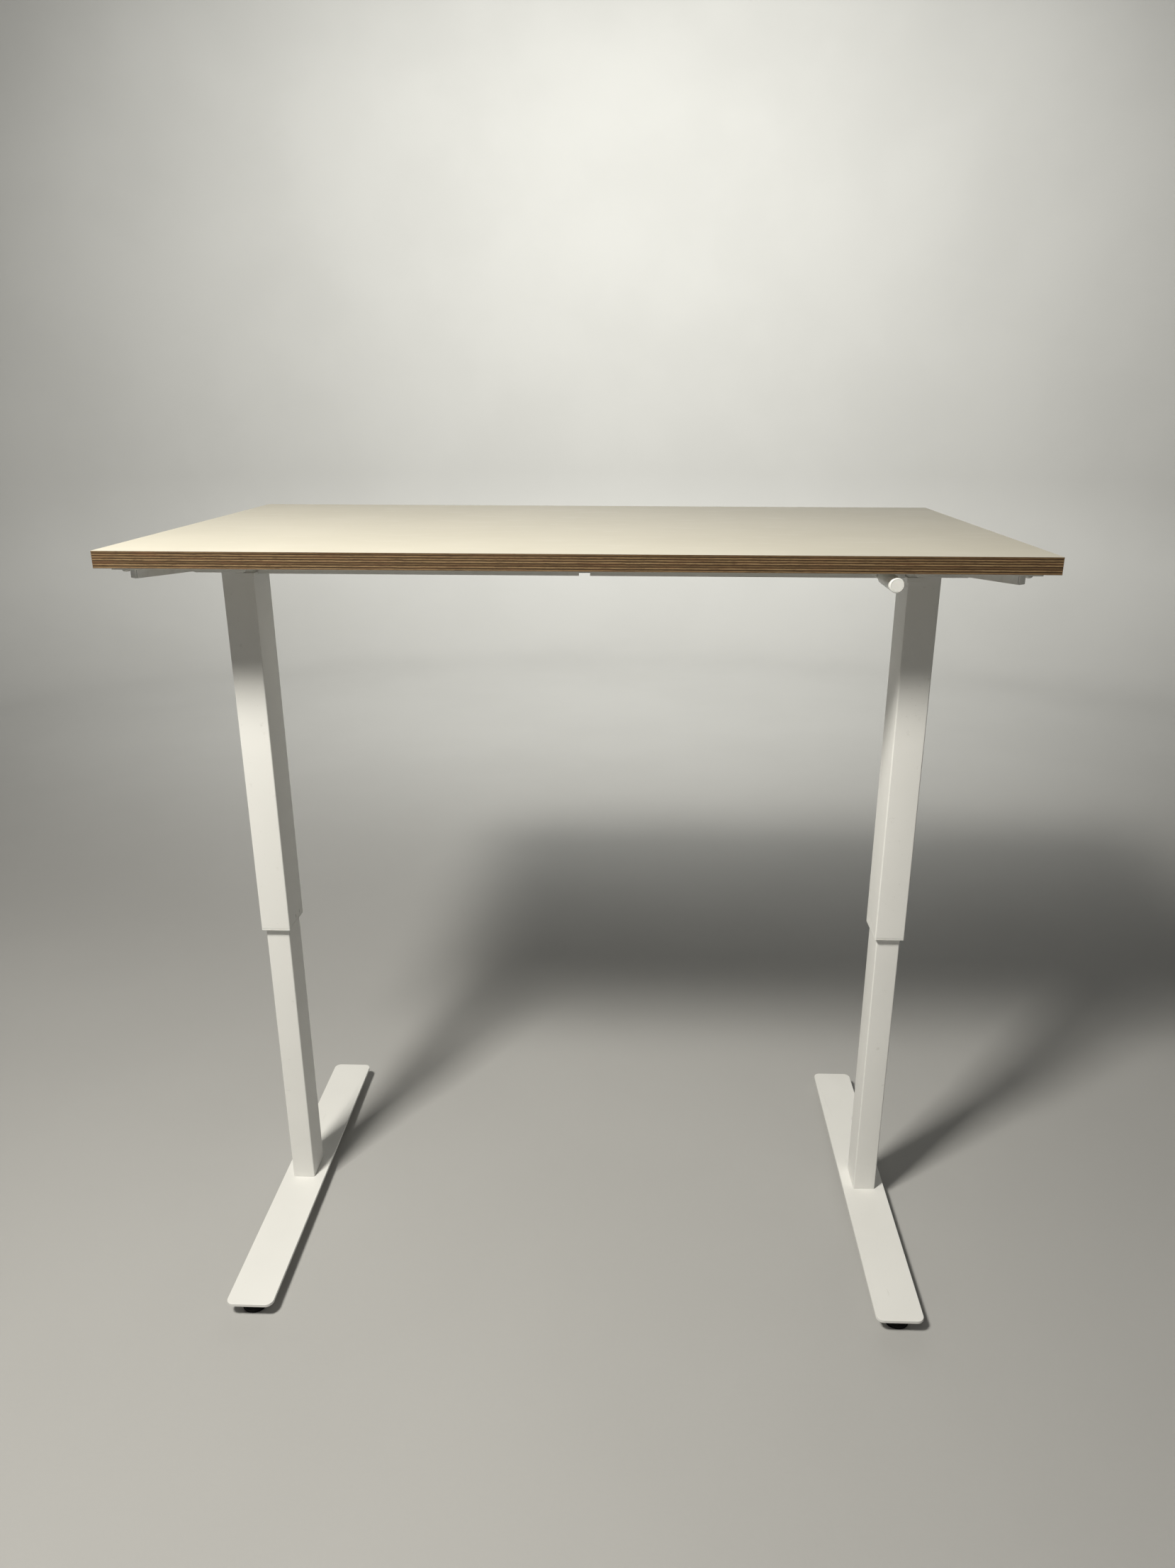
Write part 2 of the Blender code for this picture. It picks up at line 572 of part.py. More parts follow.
        self.body("crank_bar", CRANK_X, ARM_PIVOT_Y, SHAFT_Z, "crank_rod")
        end = BAR_WIDTH / 2
        low = (CRANK_X - end, GRIP_PIVOT_Y - end, SHAFT_Z - BAR_THICK / 2)
        high = (CRANK_X + end, ARM_PIVOT_Y + end, SHAFT_Z + BAR_THICK / 2)
        bar = self.add("crank_bar", block(low, high, end * 0.98), "paint", "crank_bar")
        slot = TONGUE_THICK / 2 + GAP
        for pivot, way in ((ARM_PIVOT_Y, 1), (GRIP_PIVOT_Y, -1)):
            low_y, high_y = sorted((pivot - way * 0.009, pivot + way * 0.012))
            self.cut(bar, block((CRANK_X - 0.012, low_y, SHAFT_Z - slot),
                                (CRANK_X + 0.012, high_y, SHAFT_Z + slot)))
            pin = turned([(0.0018, SHAFT_Z - 0.003), (0.0018, SHAFT_Z + 0.003)])
            self.cut(bar, at(pin, CRANK_X, pivot), operation="UNION")

        self.body("grip_bracket", CRANK_X, GRIP_PIVOT_Y, SHAFT_Z, "crank_bar")
        spindle = turned([(0.0055, -GRIP_Y[1] - 0.0020), (0.0055, -GRIP_Y[1] - GAP),
                          (SPINDLE_RADIUS, -GRIP_Y[1] - GAP), (SPINDLE_RADIUS, -GRIP_Y[0] - 0.012)])
        spindle = at(along_minus_y(spindle), CRANK_X, 0.0, SHAFT_Z)
        bracket = self.add("grip_bracket", spindle, "steel", "grip_bracket")
        self.tongue(bracket, GRIP_PIVOT_Y, 1)

        self.body("grip", CRANK_X, GRIP_PIVOT_Y, SHAFT_Z, "grip_bracket")
        back, front = -GRIP_Y[1], -GRIP_Y[0]
        bore = SPINDLE_RADIUS + GAP
        grip = turned([(bore, front - 0.010), (bore, back), (GRIP_RADIUS - 0.001, back),
                       (GRIP_RADIUS, back + 0.001), (GRIP_RADIUS, front - 0.003),
                       (GRIP_RADIUS - 0.0009, front - 0.0009), (GRIP_RADIUS - 0.003, front)], 24)
        self.add("crank_grip", at(along_minus_y(grip), CRANK_X, 0.0, SHAFT_Z), "plastic", "grip")

    def tongue(self, piece, pivot, way):
        """A flat eye on a rod, drilled for the bar's pin. It reaches the rod the other way."""
        half = TONGUE_THICK / 2
        low_y, high_y = sorted((pivot + way * 0.0055, pivot - way * 0.0110))
        eye = block((CRANK_X - TONGUE_WIDTH / 2, low_y, SHAFT_Z - half),
                    (CRANK_X + TONGUE_WIDTH / 2, high_y, SHAFT_Z + half), 0.003)
        hole = turned([(0.0022, SHAFT_Z - 0.01), (0.0022, SHAFT_Z + 0.01)])
        self.cut(piece, eye, operation="UNION")
        self.cut(piece, at(hole, CRANK_X, pivot))


def tube(size, low, high):
    """An upright rectangular tube on a leg's axis."""
    inner = [length - 2 * TUBE_WALL for length in size]
    inner_corner = TUBE_CORNER - TUBE_WALL
    return at(skin([rounded(size, TUBE_CORNER, low), rounded(size, TUBE_CORNER, high),
                    rounded(inner, inner_corner, high), rounded(inner, inner_corner, low)],
                   ring=True), LEG_X, LEG_Y)


def bevel_gear(tooth_first, bore):
    """A miter gear on +Z, its cone's tip at the origin. bore gives its hole's reach by angle."""
    angles = tooth_angles(tooth_first)
    return skin([spokes(angles, lambda a: BEVEL_HUB_RADIUS, BEVEL_HUB_END),
                 spokes(angles, lambda a: BEVEL_HUB_RADIUS, BEVEL_PITCH),
                 tooth_outline(angles, BEVEL_PITCH), tooth_outline(angles, BEVEL_SMALL),
                 spokes(angles, bore, BEVEL_SMALL), spokes(angles, bore, BEVEL_HUB_END)], ring=True)


def hexagonal_bore(angle):
    """The reach of a bore that slides on the hexagonal shafts."""
    return hexagon_reach(HEX + 2 * GAP, angle)


def rod_passage():
    """The hole along Y that the crank's rod slides through."""
    hole = along_minus_y(turned([(0.005, -0.04), (0.005, 0.04)]))
    return at(hole, CRANK_X, LEG_Y, SHAFT_Z)


def ear_y(line):
    """Where along Y the screw of an arm stands."""
    tip = line[1][1]
    return tip + (EAR_PAST_TIP if tip > LEG_Y else -EAR_PAST_TIP)


def main():
    """Clear the scene and build the desk."""
    for old in list(bpy.data.objects):
        bpy.data.objects.remove(old, do_unlink=True)
    desk = Desk()
    desk.body("upper", 0.0, LEG_Y, FRAME_TOP)
    desk.worktop()
    for side in ("right", "left"):
        desk.left = side == "left"
        desk.foot(side)
        desk.lower_leg(side)
        desk.upper_leg(side)
        desk.strap(side)
        desk.arm(side, "front", FRONT_ARM)
        desk.arm(side, "rear", REAR_ARM)
        desk.leg_drive(side)
    desk.left = False
    desk.beam()
    desk.cross_shafts()
    desk.crank_gearbox()
    desk.crank()


main()
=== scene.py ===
"""Height adjustable standing desk with a folding crank, modelled and finished around its frame.

Metres, +X along the worktop to the right, +Y away from the user, +Z up. Every place comes from
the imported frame. Each sub-assembly is a class: its fields are its sizes, and its methods shape
its meshes with edit-mode tools and give them their finishes.
"""

import logging
from contextlib import contextmanager
from dataclasses import dataclass
from enum import Enum
from math import cos, pi, radians, sin
from typing import Callable, Iterator, Optional, Sequence, Union

import bmesh
import bpy
from mathutils import Euler, Matrix, Vector


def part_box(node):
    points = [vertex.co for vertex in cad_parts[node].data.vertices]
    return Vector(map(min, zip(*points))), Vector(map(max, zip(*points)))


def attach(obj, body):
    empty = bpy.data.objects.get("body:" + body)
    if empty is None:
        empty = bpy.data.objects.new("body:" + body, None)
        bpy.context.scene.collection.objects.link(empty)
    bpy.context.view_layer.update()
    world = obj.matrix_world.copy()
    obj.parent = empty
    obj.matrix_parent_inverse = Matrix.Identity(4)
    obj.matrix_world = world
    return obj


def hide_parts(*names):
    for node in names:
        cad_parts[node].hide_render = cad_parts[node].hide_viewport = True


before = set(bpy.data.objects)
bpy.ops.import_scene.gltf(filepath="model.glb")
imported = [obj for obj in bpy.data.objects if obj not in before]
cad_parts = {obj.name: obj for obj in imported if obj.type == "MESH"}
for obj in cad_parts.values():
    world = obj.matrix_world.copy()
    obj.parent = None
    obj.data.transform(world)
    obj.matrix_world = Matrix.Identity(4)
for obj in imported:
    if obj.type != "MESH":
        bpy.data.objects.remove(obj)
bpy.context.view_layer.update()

log = logging.getLogger("standing_desk")

Point = Sequence[float]
Colour = tuple[float, float, float]
Element = Union[bmesh.types.BMFace, bmesh.types.BMEdge, bmesh.types.BMVert]
MILLIMETRE = 0.001
ROUND_SIDES = 32
SMOOTH_ANGLE = radians(35)


class Axis(Enum):
    """The direction a turned part is built along: its turn from +Z, and the way it grows."""

    X = ((0.0, pi / 2, 0.0), (1.0, 0.0, 0.0))
    MINUS_Y = ((pi / 2, 0.0, 0.0), (0.0, -1.0, 0.0))
    Z = ((0.0, 0.0, 0.0), (0.0, 0.0, 1.0))
    MINUS_Z = ((pi, 0.0, 0.0), (0.0, 0.0, -1.0))

    @property
    def turn(self) -> Euler:
        """The rotation that lays +Z along this direction."""
        return Euler(self.value[0])

    @property
    def way(self) -> Vector:
        """The unit vector of this direction."""
        return Vector(self.value[1])


class Side(Enum):
    """The two sides of the desk."""

    LEFT = "left"
    RIGHT = "right"


# Shader building --------------------------------------------------------------------------------

class Wire:
    """A shader output that can be used in sums, each operator adding one Math node."""

    def __init__(self, bench: "Bench", socket: bpy.types.NodeSocket) -> None:
        """Wrap one output socket.

        Args:
            bench: The material being built.
            socket: The output that this wire carries.
        """
        self.bench = bench
        self.socket = socket

    def maths(self, operation: str, *values: Union["Wire", float]) -> "Wire":
        """Add a Math node.

        Args:
            operation: The Math node's operation.
            values: What goes into it, in order.

        Returns:
            Its result.
        """
        return self.bench.node("ShaderNodeMath", {"operation": operation},
                               dict(enumerate(values)))

    def __add__(self, other: Union["Wire", float]) -> "Wire":
        """Sum."""
        return self.maths("ADD", self, other)

    __radd__ = __add__

    def __mul__(self, other: Union["Wire", float]) -> "Wire":
        """Product."""
        return self.maths("MULTIPLY", self, other)

    __rmul__ = __mul__

    def __sub__(self, other: Union["Wire", float]) -> "Wire":
        """Difference."""
        return self.maths("SUBTRACT", self, other)

    def __rsub__(self, other: float) -> "Wire":
        """Difference from a number."""
        return self.maths("SUBTRACT", other, self)

    def __truediv__(self, other: Union["Wire", float]) -> "Wire":
        """Quotient."""
        return self.maths("DIVIDE", self, other)

    def __abs__(self) -> "Wire":
        """Size without its sign."""
        return self.maths("ABSOLUTE", self)

    def floor(self) -> "Wire":
        """Whole part."""
        return self.maths("FLOOR", self)

    def fraction(self) -> "Wire":
        """What is left over the whole part."""
        return self.maths("FRACT", self)

    def above(self, limit: float) -> "Wire":
        """1 where it is over the limit, otherwise 0."""
        return self.maths("GREATER_THAN", self, limit)

    def larger(self, other: "Wire") -> "Wire":
        """The larger of two."""
        return self.maths("MAXIMUM", self, other)

    def rise(self, start: float, end: float) -> "Wire":
        """Ease from 0 to 1.

        Args:
            start: Where it leaves 0.
            end: Where it reaches 1.

        Returns:
            A smooth mask.
        """
        return self.bench.node("ShaderNodeMapRange", {"interpolation_type": "SMOOTHSTEP"},
                               {"Value": self, "From Min": start, "From Max": end})


class Bench:
    """One material being built, with its shader and short ways to add what a finish needs."""

    def __init__(self, name: str) -> None:
        """Start a material.

        Args:
            name: The finish's name.
        """
        self.material = bpy.data.materials.new(name)
        self.material.use_nodes = True
        self.tree = self.material.node_tree
        self.shader = self.tree.nodes["Principled BSDF"]

    def node(self, kind: str, settings: Optional[dict] = None, sockets: Optional[dict] = None,
             output: int = 0) -> Wire:
        """Add a node.

        Args:
            kind: The node's type.
            settings: Its own settings, a ramp's stops among them, set first.
            sockets: The values or wires of its inputs, by name or number.
            output: Which of its outputs is wanted.

        Returns:
            That output.
        """
        made = self.tree.nodes.new(kind)
        for key, value in (settings or {}).items():
            if key == "stops":
                self._set_stops(made.color_ramp, value)
            else:
                setattr(made, key, value)
        for key, value in (sockets or {}).items():
            if isinstance(value, Wire):
                self.tree.links.new(value.socket, made.inputs[key])
            else:
                made.inputs[key].default_value = value
        return Wire(self, made.outputs[output])

    @staticmethod
    def _set_stops(ramp: bpy.types.ColorRamp, stops: Sequence[tuple[float, Colour]]) -> None:
        """Give a ramp its stops.

        Args:
            ramp: The ramp of a new node, which has two stops.
            stops: Each stop's place and colour.
        """
        while len(ramp.elements) < len(stops):
            ramp.elements.new(0.5)
        for element, (place, colour) in zip(ramp.elements, stops):
            element.position = place
            element.color = (*colour, 1.0)

    def place(self) -> Wire:
        """The point on the piece, in metres."""
        return self.node("ShaderNodeTexCoord", output=3)

    def part(self, vector: Wire, index: int) -> Wire:
        """One part, X, Y or Z, of a vector."""
        return self.node("ShaderNodeSeparateXYZ", sockets={0: vector}, output=index)

    def noise(self, scale: float, detail: float = 2.0, stretch: Point = (1.0, 1.0, 1.0),
              roughness: float = 0.5) -> Wire:
        """Soft noise over the piece.

        Args:
            scale: Features to a metre.
            detail: How many finer layers it has.
            stretch: How much closer the features are along X, Y and Z.
            roughness: How strong the finer layers are.

        Returns:
            A value round 0.5.
        """
        point = self.node("ShaderNodeMapping", {}, {"Vector": self.place(), "Scale": stretch})
        return self.node("ShaderNodeTexNoise", {},
                         {"Vector": point, "Scale": scale, "Detail": detail,
                          "Roughness": roughness})

    def edges(self) -> Wire:
        """1 on rounded edges and corners, 0 on the flat faces between them."""
        normal = self.node("ShaderNodeTexCoord", output=1)
        x, y, z = (abs(self.part(normal, i)) for i in range(3))
        return (1.0 - x.larger(y).larger(z)).rise(0.03, 0.25)

    def ramp(self, value: Wire, *stops: tuple[float, Colour]) -> Wire:
        """Turn a value into a colour.

        Args:
            value: What is looked up.
            stops: Each stop's place and colour.

        Returns:
            The colour.
        """
        return self.node("ShaderNodeValToRGB", {"stops": stops}, {0: value})

    def blend(self, amount: Union[Wire, float], first: Union[Wire, Colour],
              second: Union[Wire, Colour], way: str = "MIX") -> Wire:
        """Mix two colours.

        Args:
            amount: How much of the second.
            first: A colour.
            second: Another colour.
            way: How they mix.

        Returns:
            The mixed colour.
        """
        first, second = (c if isinstance(c, Wire) else (*c, 1.0) for c in (first, second))
        return self.node("ShaderNodeMix", {"data_type": "RGBA", "blend_type": way},
                         {0: amount, 6: first, 7: second}, output=2)

    def surface(self, colour: Wire, roughness: Wire, height: Wire, depth: float,
                **constants: float) -> None:
        """Connect what varies to the shader, and set what doesn't.

        Args:
            colour: The base colour.
            roughness: The roughness.
            height: The relief, from 0 to 1.
            depth: The relief's depth in metres.
            constants: Values of other shader sockets, an underline for each space.
        """
        normal = self.node("ShaderNodeBump", {}, {"Strength": 1.0, "Distance": depth,
                                                  "Height": height})
        for key, wire in (("Base Color", colour), ("Roughness", roughness), ("Normal", normal)):
            self.tree.links.new(wire.socket, self.shader.inputs[key])
        for key, value in constants.items():
            self.shader.inputs[key.replace("_", " ")].default_value = value

    def clear_from_behind(self) -> None:
        """Let a one-sided sheet be seen through from its back."""
        behind = self.node("ShaderNodeNewGeometry", output=6)
        clear = self.node("ShaderNodeBsdfTransparent")
        mixed = self.node("ShaderNodeMixShader", {}, {
            0: behind, 1: Wire(self, self.shader.outputs[0]), 2: clear})
        self.tree.links.new(mixed.socket, self.tree.nodes["Material Output"].inputs["Surface"])


# Finishes ---------------------------------------------------------------------------------------

@dataclass(frozen=True)
class Finish:
    """A finish: its name, the slot it belongs to, and how its shader is built."""

    name: str = ""
    slot: str = ""

    def build(self, bench: Bench) -> None:
        """Build the shader; each finish has its own way.

        Args:
            bench: The material to build on.
        """
        raise NotImplementedError


@dataclass(frozen=True)
class CreamLaminate(Finish):
    """Matt cream laminate with a very fine speckle, and brown paper layers in its cut edge."""

    name: str = "cream_laminate"
    slot: str = "laminate"
    light: Colour = (0.590, 0.560, 0.480)
    shade: Colour = (0.550, 0.520, 0.440)
    speck: Colour = (0.50, 0.45, 0.36)
    backing: Colour = (0.085, 0.047, 0.028)

    def build(self, bench: Bench) -> None:
        """Clouded cream, fine specks, and a leathery micro-relief.

        Args:
            bench: The material to build on.
        """
        cloud = bench.noise(5.0, 4.0)
        grain = bench.noise(1400.0, 3.0)
        specks = bench.noise(2600.0, 1.0).rise(0.66, 0.74)
        rubbed = bench.noise(14.0, 3.0, (1.0, 2.6, 1.0)).rise(0.52, 0.70)
        colour = bench.blend(cloud.rise(0.3, 0.7) * 0.55 + grain * 0.45, self.light, self.shade)
        colour = bench.blend(specks * 0.35, colour, self.speck)
        normal = bench.node("ShaderNodeTexCoord", output=1)
        cut_edge = 1.0 - abs(bench.part(normal, 2)).rise(0.10, 0.30)
        colour = bench.blend(cut_edge, colour, self.backing)
        roughness = 0.46 + grain * 0.10 - rubbed * 0.07
        bench.surface(colour, roughness, grain * 0.6 + bench.noise(500.0, 1.0) * 0.4, 0.00004,
                      Specular_IOR_Level=0.38)


@dataclass(frozen=True)
class PlywoodEdge(Finish):
    """The cut edge of plywood: light plies along the grain, dark plies across it, glue between."""

    name: str = "plywood_edge"
    slot: str = "plywood"
    base: float = 1.176
    ply: float = 0.00177
    glue: Colour = (0.035, 0.019, 0.011)

    def build(self, bench: Bench) -> None:
        """Number the plies by height, colour each one, and draw its grain, glue line and knots.

        Args:
            bench: The material to build on.
        """
        normal = bench.node("ShaderNodeTexCoord", output=1)
        side_face = abs(bench.part(normal, 0)).above(0.5)
        waver = bench.noise(1.0, 3.0, (38.0, 38.0, 90.0)) - 0.5
        height = (bench.part(bench.place(), 2) - self.base) / self.ply + waver * 0.55
        layer = height.floor()
        across = abs((layer / 2.0).fraction() - side_face * 0.5) * 2.0
        tone = bench.node("ShaderNodeTexWhiteNoise", {"noise_dimensions": "1D"}, {"W": layer})
        streaks = bench.noise(1.0, 4.0, (26.0, 26.0, 2400.0), 0.65)
        pores = bench.noise(1.0, 3.0, (900.0, 900.0, 1300.0), 0.6)
        stain = bench.noise(1.0, 3.0, (7.0, 7.0, 160.0))
        along_colour = bench.ramp(streaks * 0.6 + tone * 0.3 + pores * 0.1,
                                  (0.28, (0.098, 0.058, 0.025)), (0.48, (0.185, 0.117, 0.053)),
                                  (0.70, (0.300, 0.203, 0.102)))
        across_colour = bench.ramp(pores * 0.55 + stain * 0.25 + tone * 0.2,
                                   (0.30, (0.018, 0.009, 0.004)), (0.50, (0.038, 0.020, 0.008)),
                                   (0.72, (0.080, 0.044, 0.018)))
        middle = abs(height.fraction() - 0.5)
        narrow = 1.0 - middle.rise(0.24, 0.46) * 0.75
        colour = bench.blend(across * narrow, along_colour, across_colour)
        dark = bench.noise(1.0, 4.0, (60.0, 60.0, 1100.0), 0.75).rise(0.50, 0.60)
        colour = bench.blend(dark * 0.60, colour, (0.050, 0.027, 0.012))
        reddish = bench.noise(1.0, 3.0, (16.0, 16.0, 420.0)).rise(0.50, 0.66)
        colour = bench.blend(reddish * 0.34, colour, (0.135, 0.056, 0.026))
        knots = bench.noise(1.0, 2.0, (42.0, 42.0, 620.0)).rise(0.68, 0.76)
        colour = bench.blend(knots * 0.8, colour, (0.040, 0.022, 0.014))
        joint = middle.rise(0.42, 0.50)
        colour = bench.blend(joint * 0.30, colour, self.glue)
        roughness = 0.52 + pores * 0.16 + joint * 0.08
        relief = pores * 0.5 + streaks * 0.4 - joint * 0.5 - knots * 0.3
        bench.surface(colour, roughness, relief, 0.00012, Specular_IOR_Level=0.35)


@dataclass(frozen=True)
class PowderCoat(Finish):
    """White powder coat on steel: orange peel, faint clouding, scuffs and rubbed edges."""

    name: str = "white_powder_coat"
    slot: str = "frame_paint"
    light: Colour = (0.835, 0.832, 0.812)
    shade: Colour = (0.775, 0.772, 0.752)
    worn: Colour = (0.62, 0.615, 0.59)
    mark: Colour = (0.50, 0.49, 0.46)
    scuffing: float = 0.35

    def build(self, bench: Bench) -> None:
        """Peel and fine grain in the relief, wear and scuffs in colour and roughness.

        Args:
            bench: The material to build on.
        """
        peel = bench.noise(620.0, 2.0)
        grain = bench.noise(2600.0, 1.0)
        cloud = bench.noise(4.0, 3.0).rise(0.32, 0.68)
        edges = bench.edges() * bench.noise(90.0, 4.0).rise(0.46, 0.66)
        scuffs = bench.noise(1.0, 5.0, (34.0, 9.0, 34.0), 0.62).rise(0.64, 0.74)
        specks = bench.noise(330.0, 1.0).rise(0.74, 0.79)
        colour = bench.blend(cloud * 0.6 + grain * 0.25, self.light, self.shade)
        colour = bench.blend(edges * 0.35, colour, self.worn)
        colour = bench.blend(scuffs * self.scuffing + specks * 0.25, colour, self.mark)
        roughness = 0.40 + peel * 0.12 + scuffs * 0.10 - edges * 0.08
        bench.surface(colour, roughness, peel * 0.75 + grain * 0.25, 0.00010,
                      Specular_IOR_Level=0.45)


@dataclass(frozen=True)
class MouldedPlastic(Finish):
    """Moulded plastic with a spark-eroded texture and faint flow marks."""

    name: str = "white_moulded_plastic"
    slot: str = "white_plastic"
    light: Colour = (0.820, 0.820, 0.800)
    shade: Colour = (0.730, 0.730, 0.705)
    gloss: float = 0.36

    def build(self, bench: Bench) -> None:
        """Fine erosion in the relief and soft flow marks in the colour.

        Args:
            bench: The material to build on.
        """
        erosion = bench.noise(3200.0, 2.0)
        flow = bench.noise(60.0, 3.0, (1.0, 0.25, 1.0))
        handled = bench.noise(38.0, 4.0).rise(0.52, 0.72)
        colour = bench.blend(flow.rise(0.35, 0.65) * 0.5 + erosion * 0.3, self.light, self.shade)
        roughness = self.gloss + erosion * 0.14 - handled * 0.08
        bench.surface(colour, roughness, erosion, 0.00003, Specular_IOR_Level=0.5,
                      Subsurface_Weight=0.03, Subsurface_Scale=0.002)


@dataclass(frozen=True)
class BlackRubber(Finish):
    """Moulded black rubber with dust in its grain."""

    name: str = "black_rubber_foot"
    slot: str = "black_rubber"
    black: Colour = (0.0035, 0.0035, 0.0040)
    dust: Colour = (0.050, 0.047, 0.042)

    def build(self, bench: Bench) -> None:
        """Grainy black with dusty patches.

        Args:
            bench: The material to build on.
        """
        grain = bench.noise(1500.0, 3.0)
        dusty = bench.noise(110.0, 4.0).rise(0.50, 0.75)
        colour = bench.blend(dusty * 0.16 + grain * 0.04, self.black, self.dust)
        bench.surface(colour, 0.68 + dusty * 0.2 + grain * 0.1, grain, 0.00010,
                      Specular_IOR_Level=0.3)


@dataclass(frozen=True)
class Metal(Finish):
    """Bare or plated metal with fine working marks and blotches."""

    name: str = "bright_steel"
    slot: str = "steel_drive"
    light: Colour = (0.66, 0.65, 0.63)
    shade: Colour = (0.46, 0.455, 0.445)
    shine: float = 0.24
    blotches: float = 70.0
    marks: tuple[float, float, float] = (120.0, 1800.0, 1800.0)
    depth: float = 0.00003

    def build(self, bench: Bench) -> None:
        """Fine marks along the work, and slow blotches in colour and roughness.

        Args:
            bench: The material to build on.
        """
        marks = bench.noise(1.0, 3.0, self.marks, 0.6)
        blotch = bench.noise(self.blotches, 4.0)
        edges = bench.edges()
        colour = bench.blend(marks * 0.5 + blotch.rise(0.35, 0.7) * 0.5, self.light, self.shade)
        colour = bench.blend(edges * 0.3, colour, self.light)
        roughness = self.shine + marks * 0.16 + blotch * 0.12 - edges * 0.05
        bench.surface(colour, roughness, marks * 0.6 + blotch * 0.4, self.depth, Metallic=1.0)


@dataclass(frozen=True)
class StudioFloor(Finish):
    """Plain pale floor with the faintest mottling."""

    name: str = "pale_floor"
    light: Colour = (0.46, 0.457, 0.45)
    shade: Colour = (0.44, 0.437, 0.43)

    def build(self, bench: Bench) -> None:
        """Faint mottling and a soft sheen.

        Args:
            bench: The material to build on.
        """
        mottle = bench.noise(1.6, 5.0)
        grain = bench.noise(160.0, 2.0)
        colour = bench.blend(mottle.rise(0.35, 0.65) * 0.6 + grain * 0.4, self.light, self.shade)
        bench.surface(colour, 0.55 + mottle * 0.1, grain, 0.00010)
        bench.clear_from_behind()


LAMINATE = CreamLaminate()
PAINT = PowderCoat()
FOOT_PAINT = PowderCoat(name="white_powder_coat_foot", scuffing=0.55)
PLASTIC = MouldedPlastic()
NUT_PLASTIC = MouldedPlastic(name="natural_nut_plastic", slot="nut_plastic",
                             light=(0.76, 0.72, 0.60), shade=(0.66, 0.61, 0.49), gloss=0.42)
RUBBER = BlackRubber()
STEEL = Metal()
SCREW_STEEL = Metal(name="rolled_screw_steel", marks=(1500.0, 1500.0, 260.0), shine=0.28)
ZINC = Metal(name="zinc_plating", slot="zinc_screws", light=(0.62, 0.615, 0.58),
             shade=(0.42, 0.42, 0.40), shine=0.32, blotches=420.0, marks=(900.0, 900.0, 900.0))
CASTING = Metal(name="cast_housing_metal", slot="cast_housing", light=(0.52, 0.52, 0.51),
                shade=(0.36, 0.36, 0.355), shine=0.46, blotches=240.0,
                marks=(1100.0, 1100.0, 1100.0), depth=0.00012)
FLOOR = StudioFloor()


class FinishRoom:
    """Makes each finish's material once and hands it out."""

    def __init__(self) -> None:
        """Start with no materials made."""
        self.made: dict[str, bpy.types.Material] = {}

    def material(self, finish: Finish) -> bpy.types.Material:
        """The material of a finish.

        Args:
            finish: The finish wanted.

        Returns:
            Its material, built on first use.
        """
        if finish.name not in self.made:
            bench = Bench(finish.name)
            finish.build(bench)
            self.made[finish.name] = bench.material
        return self.made[finish.name]

    def dress_node(self, node: str, finish: Finish) -> None:
        """Give a frame node a finish, its shape being right as it is.

        Args:
            node: The node's name.
            finish: Its finish.
        """
        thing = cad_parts[node]
        material = self.material(finish)
        if not thing.material_slots:
            thing.data.materials.append(material)
        for slot in thing.material_slots:
            slot.material = material
        log.info("dressed %s in %s", node, finish.name)


ROOM = FinishRoom()


# Shaping ----------------------------------------------------------------------------------------

def deselect() -> None:
    """Leave edit mode and select nothing."""
    if bpy.context.object and bpy.context.object.mode != "OBJECT":
        bpy.ops.object.mode_set(mode="OBJECT")
    bpy.ops.object.select_all(action="DESELECT")


